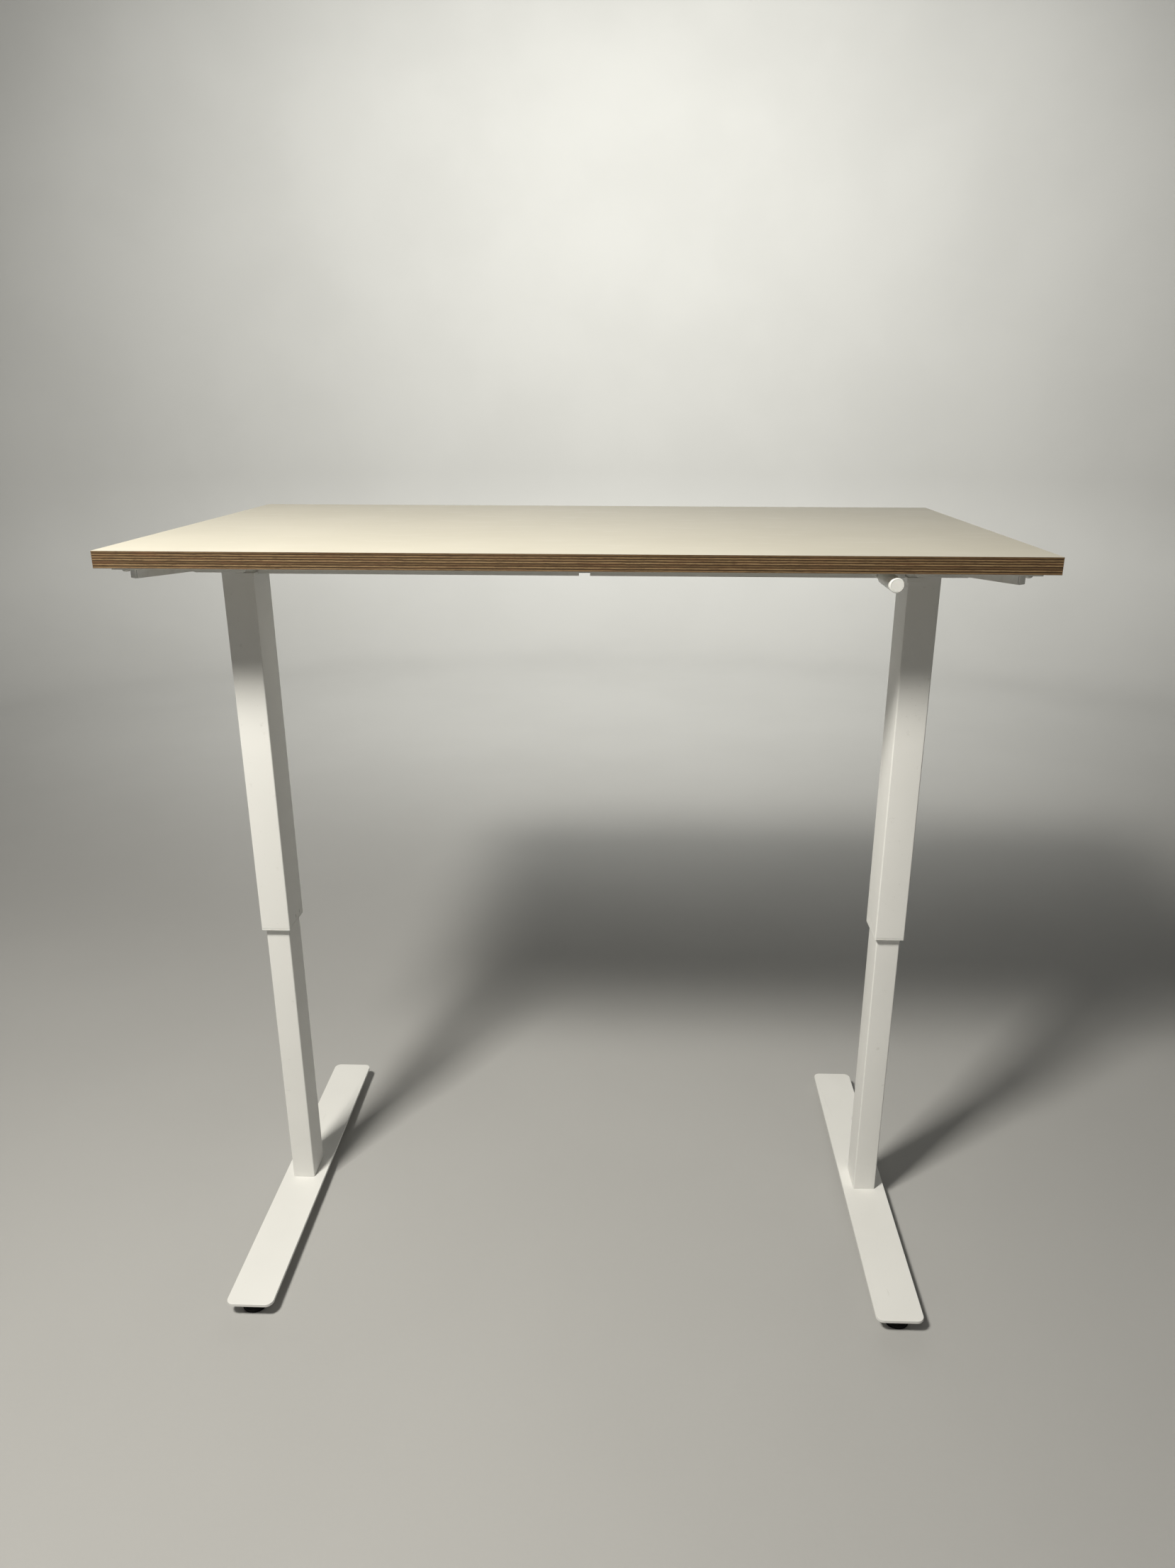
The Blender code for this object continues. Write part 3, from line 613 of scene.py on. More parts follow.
class Piece:
    """A mesh shaped with edit-mode tools, then dressed and given to the body it moves with."""

    def __init__(self, thing: bpy.types.Object, name: str) -> None:
        """Take over a new object.

        Args:
            thing: The object.
            name: The piece's name.
        """
        self.thing = thing
        thing.name = name
        thing.data.name = name

    @classmethod
    def block(cls, name: str, low: Point, high: Point) -> "Piece":
        """Start from a box.

        Args:
            name: The piece's name.
            low: Its lowest corner.
            high: Its highest corner.

        Returns:
            The piece, its place in its mesh.
        """
        deselect()
        low, high = Vector(low), Vector(high)
        bpy.ops.mesh.primitive_cube_add(size=1.0, location=(low + high) / 2)
        piece = cls(bpy.context.object, name)
        piece.thing.scale = high - low
        piece.settle()
        return piece

    @classmethod
    def turned(cls, name: str, profile: Sequence[tuple[float, float]], centre: Point, axis: Axis,
               sides: int = ROUND_SIDES) -> "Piece":
        """Draw a round part out of a disc, ring by ring.

        Args:
            name: The piece's name.
            profile: Radius and distance along the axis of each ring. If the last is the first
                again, the part is a ring with a hole through it.
            centre: Where the distance is 0.
            axis: The direction it grows.
            sides: How many sides it has.

        Returns:
            The piece.
        """
        deselect()
        hollow = tuple(profile[0]) == tuple(profile[-1])
        start = Vector(centre) + axis.way * profile[0][1]
        bpy.ops.mesh.primitive_circle_add(vertices=sides, radius=profile[0][0], location=start,
                                          rotation=axis.turn,
                                          fill_type="NOTHING" if hollow else "NGON")
        piece = cls(bpy.context.object, name)
        piece.settle()
        with piece.editing():
            bpy.ops.mesh.select_all(action="SELECT")
            for (radius, here), (next_radius, there) in zip(profile, profile[1:]):
                bpy.ops.mesh.extrude_region_move(
                    TRANSFORM_OT_translate={"value": axis.way * (there - here)})
                ratio = next_radius / radius
                bpy.ops.transform.resize(value=(ratio, ratio, ratio),
                                         center_override=Vector(centre) + axis.way * there)
        piece.close()
        return piece

    @classmethod
    def from_frame(cls, name: str, node: str) -> "Piece":
        """Start from a copy of a frame node, its loose triangles merged into clean faces.

        Args:
            name: The piece's name.
            node: The node copied.

        Returns:
            The piece.
        """
        deselect()
        thing = bpy.data.objects.new(name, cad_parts[node].data.copy())
        bpy.context.collection.objects.link(thing)
        piece = cls(thing, name)
        thing.data.materials.clear()
        with piece.editing():
            bpy.ops.mesh.select_all(action="SELECT")
            bpy.ops.mesh.remove_doubles(threshold=0.000002)
            bpy.ops.mesh.customdata_custom_splitnormals_clear()
            bpy.ops.mesh.mark_sharp(clear=True)
            bpy.ops.mesh.dissolve_limited(angle_limit=radians(1.0))
        return piece

    def take(self) -> None:
        """Make this piece the only one selected, and the active one."""
        deselect()
        self.thing.select_set(True)
        bpy.context.view_layer.objects.active = self.thing

    def settle(self) -> None:
        """Move the object's place, turn and size into its mesh."""
        self.take()
        bpy.ops.object.transform_apply(location=True, rotation=True, scale=True)

    @contextmanager
    def editing(self) -> Iterator[None]:
        """Edit mode on this piece alone, left again at the end."""
        self.take()
        bpy.ops.object.mode_set(mode="EDIT")
        yield
        bpy.ops.object.mode_set(mode="OBJECT")

    def pick(self, test: Callable[[Element], bool], kind: str = "FACE") -> int:
        """Select what passes a test, in edit mode.

        Args:
            test: Says whether a face, edge or point is wanted.
            kind: FACE, EDGE or VERT.

        Returns:
            How many were selected.
        """
        bpy.ops.mesh.select_mode(type=kind)
        bpy.ops.mesh.select_all(action="DESELECT")
        mesh = bmesh.from_edit_mesh(self.thing.data)
        mesh.normal_update()
        wanted = [item for item in {"FACE": mesh.faces, "EDGE": mesh.edges,
                                    "VERT": mesh.verts}[kind] if test(item)]
        for item in wanted:
            item.select_set(True)
        mesh.select_flush_mode()
        bmesh.update_edit_mesh(self.thing.data)
        return len(wanted)

    def close(self) -> None:
        """Merge doubled points and turn every face outwards."""
        with self.editing():
            bpy.ops.mesh.select_all(action="SELECT")
            bpy.ops.mesh.remove_doubles(threshold=0.000002)
            bpy.ops.mesh.normals_make_consistent(inside=False)

    def round_edges(self, along: int, radius: float, segments: int = 8) -> "Piece":
        """Round the edges that run one way.

        Args:
            along: 0, 1 or 2 for edges along X, Y or Z.
            radius: The corner's radius.
            segments: How many faces it is rounded with.

        Returns:
            The piece itself.
        """
        with self.editing():
            self.pick(lambda edge: abs((edge.verts[1].co - edge.verts[0].co).normalized()[along])
                      > 0.999, "EDGE")
            bpy.ops.mesh.bevel(offset=radius, segments=segments, affect="EDGES")
        return self

    def cut(self, *tools: "Piece", join: bool = False) -> "Piece":
        """Cut shapes out of the piece, or join them to it, and throw the tools away.

        Args:
            tools: The shapes.
            join: True to join them.

        Returns:
            The piece itself.
        """
        for tool in tools:
            modifier = self.thing.modifiers.new("Cut", "BOOLEAN")
            modifier.operation = "UNION" if join else "DIFFERENCE"
            modifier.solver = "EXACT"
            modifier.object = tool.thing
            self.apply(modifier)
            mesh = tool.thing.data
            bpy.data.objects.remove(tool.thing, do_unlink=True)
            bpy.data.meshes.remove(mesh)
        return self

    def apply(self, modifier: bpy.types.Modifier) -> None:
        """Apply one of the piece's modifiers.

        Args:
            modifier: The modifier.
        """
        self.take()
        bpy.ops.object.modifier_apply(modifier=modifier.name)

    def soften(self, width: float, segments: int = 2, angle: float = 40.0) -> "Piece":
        """Round every sharp edge a little and shade the rest smooth.

        Args:
            width: How far the rounding reaches.
            segments: How many faces it has.
            angle: The sharpness in degrees that counts as an edge.

        Returns:
            The piece itself.
        """
        self.take()
        bpy.ops.object.shade_smooth()
        modifier = self.thing.modifiers.new("Soften", "BEVEL")
        modifier.limit_method = "ANGLE"
        modifier.angle_limit = radians(angle)
        modifier.width = width
        modifier.segments = segments
        modifier.harden_normals = True
        self.apply(modifier)
        return self

    def smooth(self) -> "Piece":
        """Shade smooth but for the sharp edges."""
        self.take()
        bpy.ops.object.shade_smooth_by_angle(angle=SMOOTH_ANGLE)
        return self

    def twin(self, name: str, offset: Optional[Point] = None) -> "Piece":
        """Copy the piece with a mesh of its own, mirrored across the desk or moved.

        Args:
            name: The copy's name.
            offset: How far it is moved. Without it the copy is mirrored in X.

        Returns:
            The copy.
        """
        deselect()
        thing = bpy.data.objects.new(name, self.thing.data.copy())
        bpy.context.collection.objects.link(thing)
        copy = Piece(thing, name)
        with copy.editing():
            bpy.ops.mesh.select_all(action="SELECT")
            if offset is None:
                bpy.ops.transform.resize(value=(-1.0, 1.0, 1.0), center_override=(0.0, 0.0, 0.0))
                bpy.ops.mesh.normals_make_consistent(inside=False)
            else:
                bpy.ops.transform.translate(value=offset)
        return copy

    def give(self, finish: Finish, body: str, *nodes: str) -> "Piece":
        """Dress the piece and hand it to its body.

        Args:
            finish: Its finish.
            body: The body it moves with.
            nodes: The frame nodes it stands for.

        Returns:
            The piece itself.
        """
        self.thing.data.materials.clear()
        self.thing.data.materials.append(ROOM.material(finish))
        if nodes:
            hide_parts(*nodes)
        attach(self.thing, body)
        log.info("%s: %d faces on %s", self.thing.name, len(self.thing.data.polygons), body)
        return self


def both_sides(text: str) -> Iterator[str]:
    """The name of something on each side of the desk.

    Args:
        text: The name without its side.

    Yields:
        The left name, then the right one.
    """
    for side in Side:
        yield f"{text}_{side.value}"


def upright(node: str) -> Vector:
    """The foot, at height 0, of the upright line through a frame node's middle."""
    low, high = (Vector(corner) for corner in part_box(node))
    return ((low + high) / 2) * Vector((1.0, 1.0, 0.0))


# Sub-assemblies ---------------------------------------------------------------------------------

@dataclass
class Worktop:
    """The board: a plywood core with a real step at each ply, between two sheets of laminate."""

    plies: int = 13
    recess: float = 0.00016
    glue_gap: float = 0.0001
    eased: float = 0.0003
    pilot: float = 0.0026

    def build(self) -> None:
        """Make the core and the two sheets."""
        self.core()
        self.sheet("worktop_top_sheet", "top_laminate")
        self.sheet("worktop_bottom_sheet", "bottom_laminate")

    def core(self) -> None:
        """Split the core into plies and set every second one back."""
        low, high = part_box("tabletop_core")
        below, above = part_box("bottom_laminate")[1][2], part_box("top_laminate")[0][2]
        low = Vector((low[0], low[1], below + self.glue_gap))
        high = Vector((high[0], high[1], above - self.glue_gap))
        ply = (high.z - low.z) / self.plies
        core = Piece.block("worktop_core", low, high)
        with core.editing():
            for number in range(1, self.plies):
                bpy.ops.mesh.select_all(action="SELECT")
                bpy.ops.mesh.bisect(plane_co=(0.0, 0.0, low.z + number * ply),
                                    plane_no=(0.0, 0.0, 1.0))
            core.pick(lambda face: abs(face.normal.z) < 0.5
                      and int((face.calc_center_median().z - low.z) / ply) % 2 == 1)
            bpy.ops.mesh.extrude_region_move(TRANSFORM_OT_translate={"value": (0.0, 0.0, 0.0)})
            size = high - low
            bpy.ops.transform.resize(
                value=(1 - 2 * self.recess / size.x, 1 - 2 * self.recess / size.y, 1.0),
                center_override=(low + high) / 2)
        core.cut(*self.pilots(high.z - 0.004))
        core.smooth().give(PlywoodEdge(base=low.z, ply=ply), "upper", "tabletop_core")

    def pilots(self, depth: float) -> list[Piece]:
        """Drills for the screws.

        Args:
            depth: The height they reach.

        Returns:
            Four tools to cut with.
        """
        tools = []
        for end in ("front", "rear"):
            for name in both_sides(f"{end}_arm_screw"):
                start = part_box(name)[0][2]
                tools.append(Piece.turned("drill_" + name, [(self.pilot, start),
                                                            (self.pilot, depth)],
                                          upright(name), Axis.Z, 16))
        return tools

    def sheet(self, name: str, node: str) -> None:
        """One sheet of laminate, its outer edge eased.

        Args:
            name: The piece's name.
            node: The node it stands for.
        """
        low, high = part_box(node)
        sheet = Piece.block(name, low, high)
        outer = high[2] if node == "top_laminate" else low[2]
        with sheet.editing():
            sheet.pick(lambda edge: all(abs(v.co.z - outer) < 1e-5 for v in edge.verts), "EDGE")
            bpy.ops.mesh.bevel(offset=self.eased, segments=3, affect="EDGES")
        if node == "bottom_laminate":
            sheet.cut(*self.pilots(high[2] + 0.002))
        sheet.smooth().give(LAMINATE, "upper", node)


@dataclass
class Feet:
    """The two flat feet with their levelling pads and the bolts that hold the legs."""

    corner: float = 0.012
    edge: float = 0.0011
    boss: float = 0.008
    stud: float = 0.0040
    stud_room: float = 0.0004
    bolt_hole: float = 0.0043
    thickness: float = 0.005
    gap: float = 0.0003
    thread: float = 0.00125
    rib_depth: float = 0.0007

    def build(self) -> None:
        """Make the plates, bolts and pads."""
        plate = self.plate()
        for name in both_sides("foot_plate"):
            side = name.rsplit("_", 1)[1]
            piece = plate if side == "right" else plate.twin("foot_bar_left")
            piece.soften(self.edge, 3).give(FOOT_PAINT, "base", name)
            for end in ("front", "rear"):
                self.pad(end, side)
            self.bolt(side)
            ROOM.dress_node("tube_block_" + side, STEEL)

    def plate(self) -> Piece:
        """The right foot's plate, with round corners, bosses underneath and its drilled holes."""
        low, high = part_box("foot_plate_right")
        thick_low = high[2] - self.thickness
        plate = Piece.block("foot_bar_right", (low[0], low[1], thick_low), high)
        plate.round_edges(2, self.corner, 12)
        drills = [("foot_bolt_right", self.bolt_hole, high[2] + self.thickness)]
        for end in ("front", "rear"):
            node = f"levelling_pad_{end}_right"
            boss = Piece.turned("boss", [(self.boss, low[2]), (self.boss, thick_low + MILLIMETRE)],
                                upright(node), Axis.Z, 24)
            plate.cut(boss, join=True)
            drills.append((node, self.stud + self.gap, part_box(node)[1][2] + self.stud_room))
        for node, hole, top in drills:
            plate.cut(Piece.turned("drill", [(hole, low[2] - MILLIMETRE), (hole, top)],
                                   upright(node), Axis.Z, 24))
        return plate

    def pad(self, end: str, side: str) -> None:
        """A ribbed rubber pad on its threaded stud.

        Args:
            end: front or rear.
            side: left or right.
        """
        node = f"levelling_pad_{end}_{side}"
        low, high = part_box(node)
        centre = upright(node)
        reach = (high[0] - low[0]) / 2
        mm = MILLIMETRE
        pad = Piece.turned(f"pad_rubber_{end}_{side}", [
            (reach - 4 * mm, 0.8 * mm), (reach - 3.6 * mm, 0.0), (reach - 1.6 * mm, 0.0),
            (reach - 0.5 * mm, 0.5 * mm), (reach, 1.6 * mm), (reach, 5.6 * mm),
            (reach - 0.5 * mm, 6.6 * mm), (reach - 2.2 * mm, 7.4 * mm), (11.5 * mm, 9.6 * mm),
            (10.2 * mm, 11.4 * mm), (9.2 * mm, 12.0 * mm), (5.0 * mm, 12.0 * mm),
            (4.2 * mm, 11.6 * mm)], centre, Axis.Z, 48)
        with pad.editing():
            pad.pick(lambda face: abs(face.normal.z) < 0.2
                     and 2 * mm < face.calc_center_median().z < 5 * mm)
            bpy.ops.mesh.inset(thickness=0.45 * mm, depth=-self.rib_depth, use_individual=True)
        pad.smooth().give(RUBBER, f"pad_{end}_{side}", node)
        rings = [(self.stud - 0.0006, 11.0 * mm)]
        height = 12.2 * mm
        while height < high[2] - 1.5 * self.thread:
            rings += [(self.stud - 0.0006, height), (self.stud, height + 0.45 * self.thread)]
            height += self.thread
        rings += [(self.stud - 0.0006, height), (self.stud - 0.0006, high[2] - 0.4 * mm),
                  (self.stud - 0.0011, high[2]), (0.9 * mm, high[2]), (0.9 * mm, high[2] - mm)]
        stud = Piece.turned(f"pad_stud_{end}_{side}", rings, centre, Axis.Z, 20)
        stud.smooth().give(ZINC, f"pad_{end}_{side}")

    def bolt(self, side: str) -> None:
        """The flanged hexagon bolt under a foot.

        Args:
            side: left or right.
        """
        node = "foot_bolt_" + side
        low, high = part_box(node)
        centre = upright(node)
        mm = MILLIMETRE
        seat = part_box("foot_plate_" + side)[1][2] - self.thickness - self.gap
        bolt = Piece.turned("foot_bolt_head_" + side, [
            (6.6 * mm, seat - 1.2 * mm), (7.0 * mm, seat - 0.9 * mm), (7.0 * mm, seat),
            (4.0 * mm, seat), (4.0 * mm, high[2] - 0.6 * mm), (3.4 * mm, high[2])],
            centre, Axis.Z, 32)
        head = Piece.turned("bolt_hexagon", [
            (5.0 * mm, low[2]), (6.3 * mm, low[2] + 0.6 * mm), (6.3 * mm, seat - 1.0 * mm)],
            centre, Axis.Z, 6)
        bolt.cut(head, join=True).smooth().give(ZINC, "base", node)


@dataclass
class Legs:
    """The telescopic legs: rectangular tubes with round corners, and the collars between them."""

    corner: float = 0.0022
    wall: float = 0.0018
    gap: float = 0.0003
    rim: float = 0.00035
    lip: float = 0.003
    slot: tuple[float, float] = (0.0022, 0.006)
    slot_places: tuple[float, float] = (-0.001, 0.018)
    slot_rise: float = 0.004
    shaft_window: float = 0.005
    notch: float = 0.007

    def build(self) -> None:
        """Make the right-hand pieces, copy them to the left, and dress what is inside."""
        lower = self.tube("leg_lower_right", "lower_tube_right")
        upper = self.tube("leg_upper_right", "upper_tube_right")
        self.windows(upper)
        collar = self.collar()
        self.hand_over(lower, "leg_lower", "lower_tube", "base", PAINT)
        self.hand_over(upper, "leg_upper", "upper_tube", "upper", PAINT)
        for side in Side:
            right = side is Side.RIGHT
            piece = collar if right else collar.twin("leg_collar_left")
            middle = sum(corner[0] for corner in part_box(f"upper_tube_{side.value}")) / 2
            self.cut_notch(piece, middle - self.notch)
            piece.soften(self.rim, 3).give(PLASTIC, "upper", f"collar_glide_{side.value}")
            ROOM.dress_node(f"lower_glide_{side.value}", PLASTIC)
            ROOM.dress_node(f"drive_nut_{side.value}", NUT_PLASTIC)

    def hand_over(self, piece: Piece, name: str, node: str, body: str, finish: Finish) -> None:
        """Finish a right-hand piece and its mirrored copy.

        Args:
            piece: The right-hand piece.
            name: The name of both, without the side.
            node: The nodes they stand for, without the side.
            body: The body they move with.
            finish: Their finish.
        """
        other = piece.twin(name + "_left")
        for made, side in ((piece, "right"), (other, "left")):
            made.soften(self.rim, 2).give(finish, body, f"{node}_{side}")

    def tube(self, name: str, node: str) -> Piece:
        """Shape a tube: round the corners, open the ends and thicken the wall inwards.

        Args:
            name: The piece's name.
            node: The node it stands for.

        Returns:
            The piece.
        """
        tube = Piece.block(name, *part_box(node))
        tube.round_edges(2, self.corner, 8)
        with tube.editing():
            tube.pick(lambda face: abs(face.normal.z) > 0.9)
            bpy.ops.mesh.delete(type="FACE")
        modifier = tube.thing.modifiers.new("Wall", "SOLIDIFY")
        modifier.thickness = self.wall
        modifier.offset = -1.0
        modifier.use_even_offset = True
        tube.apply(modifier)
        return tube

    def windows(self, tube: Piece) -> None:
        """Cut the snap slots and the shaft's hole into the upper tube's inner side.

        Args:
            tube: The right upper tube.
        """
        low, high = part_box("upper_tube_right")
        middle_y = (low[1] + high[1]) / 2
        for place in self.slot_places:
            centre = middle_y + place
            tube.cut(Piece.block("slot_tool", (low[0] - 0.002, centre - self.slot[0] / 2,
                                               low[2] + self.slot_rise),
                                 (low[0] + self.wall + 0.001, centre + self.slot[0] / 2,
                                  low[2] + self.slot_rise + self.slot[1])))
        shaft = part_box("stub_shaft")
        tube.cut(Piece.turned("shaft_hole", [(self.shaft_window, low[0] - 0.01),
                                             (self.shaft_window, low[0] + 0.01)],
                              (0.0, middle_y, (shaft[0][2] + shaft[1][2]) / 2), Axis.X, 24))

    def collar(self) -> Piece:
        """The right collar: a lip under the tube's end and a sleeve that reaches up inside."""
        low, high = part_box("upper_tube_right")
        bottom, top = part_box("collar_glide_right")
        collar = Piece.block("leg_collar_right", (low[0], low[1], bottom[2]),
                             (high[0], high[1], bottom[2] + self.lip))
        collar.round_edges(2, self.corner, 8)
        with collar.editing():
            collar.pick(lambda face: face.normal.z > 0.9)
            bpy.ops.mesh.inset(thickness=self.wall + self.gap)
            bpy.ops.mesh.extrude_region_move(TRANSFORM_OT_translate={
                "value": (0.0, 0.0, top[2] - bottom[2] - self.lip)})
        hole_low, hole_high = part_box("lower_tube_right")
        hole = Piece.block("bore", (hole_low[0] - self.gap, hole_low[1] - self.gap, bottom[2] - 0.01),
                           (hole_high[0] + self.gap, hole_high[1] + self.gap, top[2] + 0.01))
        collar.cut(hole.round_edges(2, self.corner, 6))
        middle_y = (low[1] + high[1]) / 2
        for place in self.slot_places:
            centre = middle_y + place
            foot = low[2] + self.slot_rise + self.gap
            tab = Piece.block("snap_tab", (low[0] + self.wall * 0.7,
                                           centre - self.slot[0] / 2 + 2 * self.gap, foot),
                              (low[0] + self.wall + 0.0015, centre + self.slot[0] / 2 - 2 * self.gap,
                               foot + self.slot[1] / 2))
            collar.cut(tab, join=True)
        return collar

    def cut_notch(self, collar: Piece, x: float) -> None:
        """Cut the mould's small notch into the front of the lip.

        Args:
            collar: The collar.
            x: Where the notch is.
        """
        bottom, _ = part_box("collar_glide_right")
        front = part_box("upper_tube_right")[0][1]
        collar.cut(Piece.block("notch_tool", (x - 0.0004, front - 0.001, bottom[2] - 0.001),
                               (x + 0.0004, front + 0.0005, bottom[2] + self.lip + 0.0002)))


@dataclass
class TopFrame:
    """What carries the worktop: head plates, straps, the crossbeam, the arms and their screws."""

    sheet_edge: float = 0.0004
    cap_edge: float = 0.0008
    head_radius: float = 0.0055
    recess: float = 0.0021

    def build(self) -> None:
        """Make every piece of the frame above the legs."""
        for side in Side:
            word = side.value
            self.sheet_metal(f"leg_head_{word}", f"head_plate_{word}")
            self.sheet_metal(f"beam_clamp_{word}", f"beam_strap_{word}")
            self.sheet_metal(f"arm_front_{word}", f"front_arm_{word}")
            self.sheet_metal(f"arm_rear_{word}", f"rear_arm_{word}")
            cap = Piece.from_frame(f"arm_end_cap_{word}", f"arm_cap_{word}")
            cap.soften(self.cap_edge, 3).give(PLASTIC, "upper", f"arm_cap_{word}")
        self.sheet_metal("beam_channel_left", "left_beam")
        self.sheet_metal("beam_channel_right", "right_beam")
        sleeve = Piece.from_frame("beam_joiner", "beam_sleeve")
        sleeve.soften(self.sheet_edge, 2).give(STEEL, "upper", "beam_sleeve")
        self.screws()

    def sheet_metal(self, name: str, node: str) -> None:
        """A folded steel part with its cut edges eased.

        Args:
            name: The piece's name.
            node: The node it stands for.
        """
        Piece.from_frame(name, node).soften(self.sheet_edge, 2).give(PAINT, "upper", node)

    def screws(self) -> None:
        """The pan-head screws with a cross recess, shaped once and copied to their places."""
        nodes = [name for end in ("front", "rear") for name in both_sides(f"{end}_arm_screw")]
        low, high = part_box(nodes[0])
        centre = upright(nodes[0])
        mm, reach = MILLIMETRE, self.head_radius
        head_top = low[2] + 3.4 * mm
        profile = [(1.2 * mm, low[2]), (2.6 * mm, low[2] + 0.15 * mm), (3.9 * mm, low[2] + 0.6 * mm),
                   (4.8 * mm, low[2] + 1.3 * mm), (5.3 * mm, low[2] + 2.2 * mm),
                   (reach, low[2] + 2.9 * mm), (reach, head_top), (2.1 * mm, head_top)]
        height = head_top + 2.0 * mm
        while height < high[2] - 3.0 * mm:
            profile += [(1.45 * mm, height), (2.1 * mm, height + 0.7 * mm)]
            height += 1.4 * mm
        profile += [(1.2 * mm, high[2] - 1.6 * mm), (0.4 * mm, high[2])]
        screw = Piece.turned("screw_model", profile, centre, Axis.Z, 24)
        for turn in (0.0, pi / 2):
            tool = Piece.block("recess_tool", (-self.recess, -0.0005, low[2] - 0.001),
                               (self.recess, 0.0005, low[2] + 0.0017))
            with tool.editing():
                tool.pick(lambda face: face.normal.z > 0.9)
                bpy.ops.transform.resize(value=(0.45, 0.6, 1.0),
                                         center_override=(0.0, 0.0, low[2] + 0.0017))
            tool.thing.rotation_euler.z = turn + radians(20)
            tool.thing.location = centre
            tool.settle()
            screw.cut(tool)
        screw.smooth()
        for node in nodes:
            end, _, _, side = node.split("_")
            screw.twin(f"screw_{end}_{side}", upright(node) - centre).give(ZINC, "upper", node)
        bpy.data.objects.remove(screw.thing, do_unlink=True)


@dataclass
class Drive:
    """The gears, shafts, lead screws and housings that lift the upper frame."""

    casting_edge: float = 0.0006
    shaft_edge: float = 0.0003

    def build(self) -> None:
        """Dress the inner parts and finish the gearbox and the shafts."""
        for side in Side:
            word = side.value
            ROOM.dress_node(f"leg_gear_housing_{word}", CASTING)
            ROOM.dress_node(f"thrust_bearing_{word}", STEEL)
            ROOM.dress_node(f"lead_screw_{word}", SCREW_STEEL)
            ROOM.dress_node(f"screw_bevel_{word}", STEEL)
        for node in ("crank_bevel", "cross_shaft_bevel_crank_end", "cross_shaft_bevel_leg_end",
                     "stub_shaft_bevel_crank_end", "stub_shaft_bevel_leg_end"):
            ROOM.dress_node(node, STEEL)
        for node in ("cross_shaft", "stub_shaft"):
            shaft = Piece.from_frame(node + "_bar", node)
            shaft.soften(self.shaft_edge, 2).give(STEEL, node, node)
        self.gearbox()

    def gearbox(self) -> None:
        """The crank's gearbox, with a raised rim underneath."""
        box = Piece.from_frame("crank_gearbox", "crank_gear_housing")
        low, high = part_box("crank_gear_housing")
        with box.editing():
            box.pick(lambda face: face.normal.z < -0.9
                     and abs(face.calc_center_median().z - low[2]) < 1e-5)
            bpy.ops.mesh.inset(thickness=0.0016, depth=-0.0005)
        box.soften(self.casting_edge, 2).give(CASTING, "upper", "crank_gear_housing")


@dataclass
class Crank:
    """The folding crank: a sliding rod, a bar with two hinges, and the turning grip."""

    edge: float = 0.0007
    rod_edge: float = 0.0004
    rivet: float = 0.0030

    def build(self) -> None:
        """Make the rod, the bar with its rivets, the bracket and the grip."""
        Piece.from_frame("crank_slide_rod", "crank_rod").soften(self.rod_edge, 2).give(
            STEEL, "crank_rod", "crank_rod")
        Piece.from_frame("crank_folding_bar", "crank_bar").soften(self.edge, 3).give(
            PAINT, "crank_bar", "crank_bar")
        Piece.from_frame("crank_grip_bracket", "grip_bracket").soften(self.rod_edge, 2).give(
            STEEL, "grip_bracket", "grip_bracket")
        self.rivets()
        self.grip()

    def rivets(self) -> None:
        """The domed rivet heads on both faces of the bar, at both hinges."""
        low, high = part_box("crank_bar")
        end = (high[0] - low[0]) / 2
        middle = (low[0] + high[0]) / 2
        mm, reach = MILLIMETRE, self.rivet
        profile = [(1.6 * mm, -0.4 * mm), (reach - 0.2 * mm, -0.4 * mm), (reach, 0.1 * mm),
                   (reach - 0.5 * mm, 0.6 * mm), (reach - 1.5 * mm, 0.9 * mm), (0.4 * mm, 1.0 * mm)]
        for label, y in (("rod", high[1] - end), ("grip", low[1] + end)):
            for face, z, axis in (("top", high[2], Axis.Z), ("under", low[2], Axis.MINUS_Z)):
                Piece.turned(f"rivet_{label}_{face}", profile, (middle, y, z), axis,
                             24).smooth().give(ZINC, "crank_bar")

    def grip(self) -> None:
        """The grip: a long barrel with a fine groove, a rounded rim and a set-in end disc."""
        low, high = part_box("crank_grip")
        mm, reach = MILLIMETRE, (high[0] - low[0]) / 2
        length = high[1] - low[1]
        centre = ((low[0] + high[0]) / 2, high[1], (low[2] + high[2]) / 2)
        rim = length - 3.4 * mm
        Piece.turned("crank_handle", [
            (3.3 * mm, length - 10 * mm), (3.3 * mm, 0.3 * mm), (3.6 * mm, 0.0),
            (reach - 1.4 * mm, 0.0), (reach - 0.5 * mm, 0.4 * mm), (reach - 0.1 * mm, 1.1 * mm),
            (reach, 2.0 * mm), (reach, rim - 0.3 * mm), (reach - 0.3 * mm, rim - 0.1 * mm),
            (reach - 0.3 * mm, rim + 0.2 * mm), (reach, rim + 0.4 * mm),
            (reach, length - 1.6 * mm), (reach - 0.25 * mm, length - 0.8 * mm),
            (reach - 0.8 * mm, length - 0.25 * mm), (reach - 1.5 * mm, length),
            (reach - 2.1 * mm, length), (reach - 2.2 * mm, length - 0.4 * mm),
            (reach - 2.5 * mm, length - 0.4 * mm), (reach - 2.6 * mm, length - 0.1 * mm),
            (0.5 * mm, length - 0.1 * mm)], centre, Axis.MINUS_Y, 48).smooth().give(
                PLASTIC, "grip", "crank_grip")


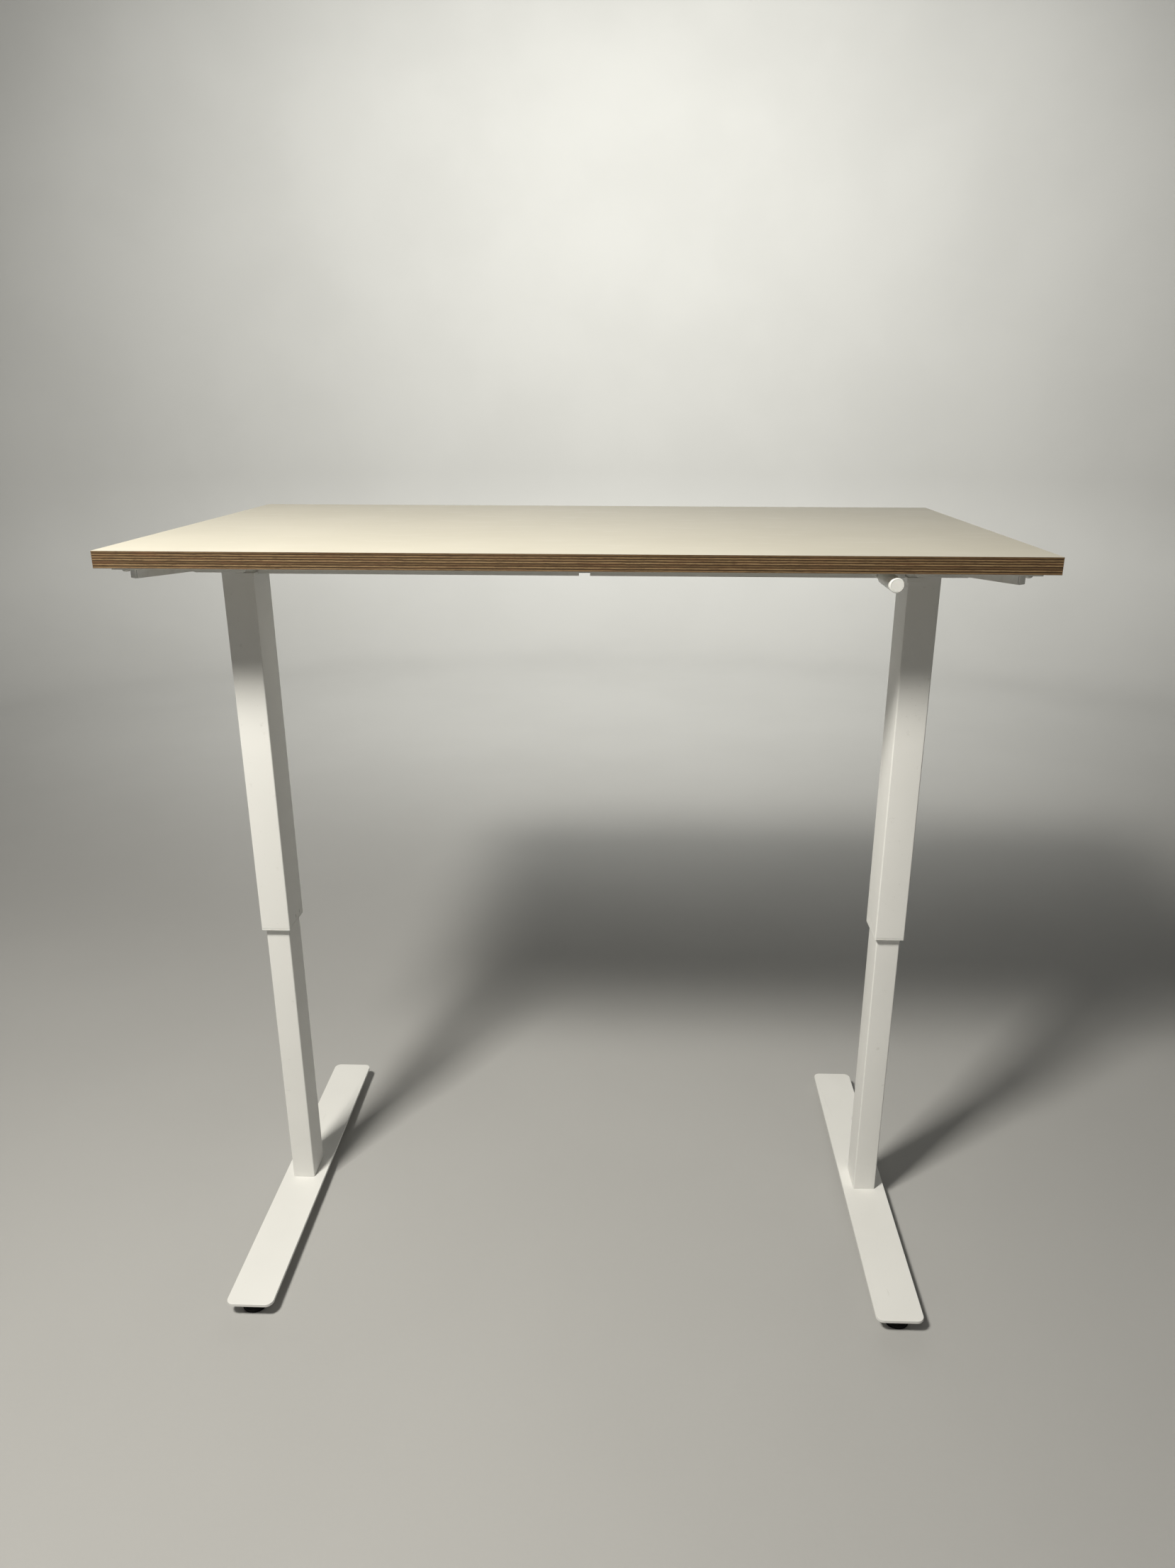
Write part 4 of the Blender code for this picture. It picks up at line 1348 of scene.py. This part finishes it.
@dataclass
class Studio:
    """A plain pale floor that curves up all round, soft lights, and the camera."""

    floor_reach: float = 4.4
    sweep: float = 1.0
    wall_height: float = 4.4
    lens: float = 24.89
    shift: tuple[float, float] = (-0.0133, 0.0017)
    stand: tuple[float, float, float] = (0.0929, -1.8037, 1.3890)
    yaw: float = -0.02808
    pitch: float = -0.33689
    roll: float = 0.00316
    warm: Colour = (1.0, 0.968, 0.884)
    neutral: Colour = (1.0, 1.0, 0.94)
    world: tuple[float, float, float] = (0.95, 0.97, 1.0)
    world_strength: float = 0.035

    def build(self) -> None:
        """Make the floor, the lights and the camera."""
        self.floor()
        self.sky()
        desk = (0.0, 0.0, 0.7)
        self.lamp("key", (-1.1, -1.58, 2.97), desk, 0.5, 112.0, self.warm)
        self.lamp("fill", (2.9, -2.6, 2.6), desk, 2.0, 2.5, self.neutral)
        self.lamp("rear", (0.5, 3.0, 3.2), desk, 2.5, 7.0, self.neutral)
        self.lamp("wall", (0.0, 1.6, 4.3), (0.0, 5.4, 1.2), 2.4, 130.0, self.neutral, 110.0)
        self.camera()

    def floor(self) -> None:
        """The floor with its sweep and wall, seen from inside only."""
        steps = 12
        arc = [(self.floor_reach + self.sweep * sin(step * pi / 2 / steps),
                self.sweep * (1 - cos(step * pi / 2 / steps))) for step in range(steps + 1)]
        bowl = Piece.turned("studio_floor", [(0.4, 0.0), *arc, (arc[-1][0], self.wall_height)],
                            (0.0, 0.0, 0.0), Axis.Z, 96)
        with bowl.editing():
            bowl.pick(lambda face: face.calc_center_median().z > self.wall_height - 0.01)
            bpy.ops.mesh.delete(type="FACE")
            bowl.pick(lambda face: True)
            bpy.ops.mesh.flip_normals()
        bowl.smooth()
        bowl.thing.data.materials.append(ROOM.material(FLOOR))

    def sky(self) -> None:
        """Even pale light from all round."""
        world = bpy.data.worlds.new("studio_light")
        world.use_nodes = True
        background = world.node_tree.nodes["Background"]
        background.inputs["Color"].default_value = (*self.world, 1.0)
        background.inputs["Strength"].default_value = self.world_strength
        bpy.context.scene.world = world

    def lamp(self, name: str, place: Point, target: Point, size: float, power: float,
             colour: Colour, spread: float = 180.0) -> None:
        """A square soft light.

        Args:
            name: Its name.
            place: Where it hangs.
            target: What it is turned to.
            size: Its side.
            power: Its power in watts.
            colour: Its colour.
            spread: The width of its beam in degrees.
        """
        light = bpy.data.lights.new(name, "AREA")
        light.size, light.energy, light.color = size, power, colour
        light.spread = radians(spread)
        lamp = bpy.data.objects.new(name, light)
        bpy.context.collection.objects.link(lamp)
        lamp.location = place
        lamp.rotation_euler = (Vector(target) - Vector(place)).to_track_quat("-Z", "Y").to_euler()

    def camera(self) -> None:
        """The camera, at standing height in front of the desk."""
        data = bpy.data.cameras.new("camera")
        data.lens = self.lens
        data.shift_x, data.shift_y = self.shift
        camera = bpy.data.objects.new("camera", data)
        bpy.context.collection.objects.link(camera)
        level = Euler((pi / 2 + self.pitch, 0.0, -self.yaw)).to_matrix()
        camera.rotation_euler = (level @ Matrix.Rotation(self.roll, 3, "Z")).to_euler()
        camera.location = self.stand
        bpy.context.scene.camera = camera
        bpy.context.scene.view_settings.view_transform = "Standard"


def main() -> None:
    """Build every sub-assembly in order, then the studio."""
    logging.basicConfig(level=logging.INFO, format="%(name)s: %(message)s")
    for part in (Studio(), Worktop(), Feet(), Legs(), TopFrame(), Drive(), Crank()):
        log.info("building %s", type(part).__name__)
        part.build()
    deselect()


if __name__ == "__main__":
    main()
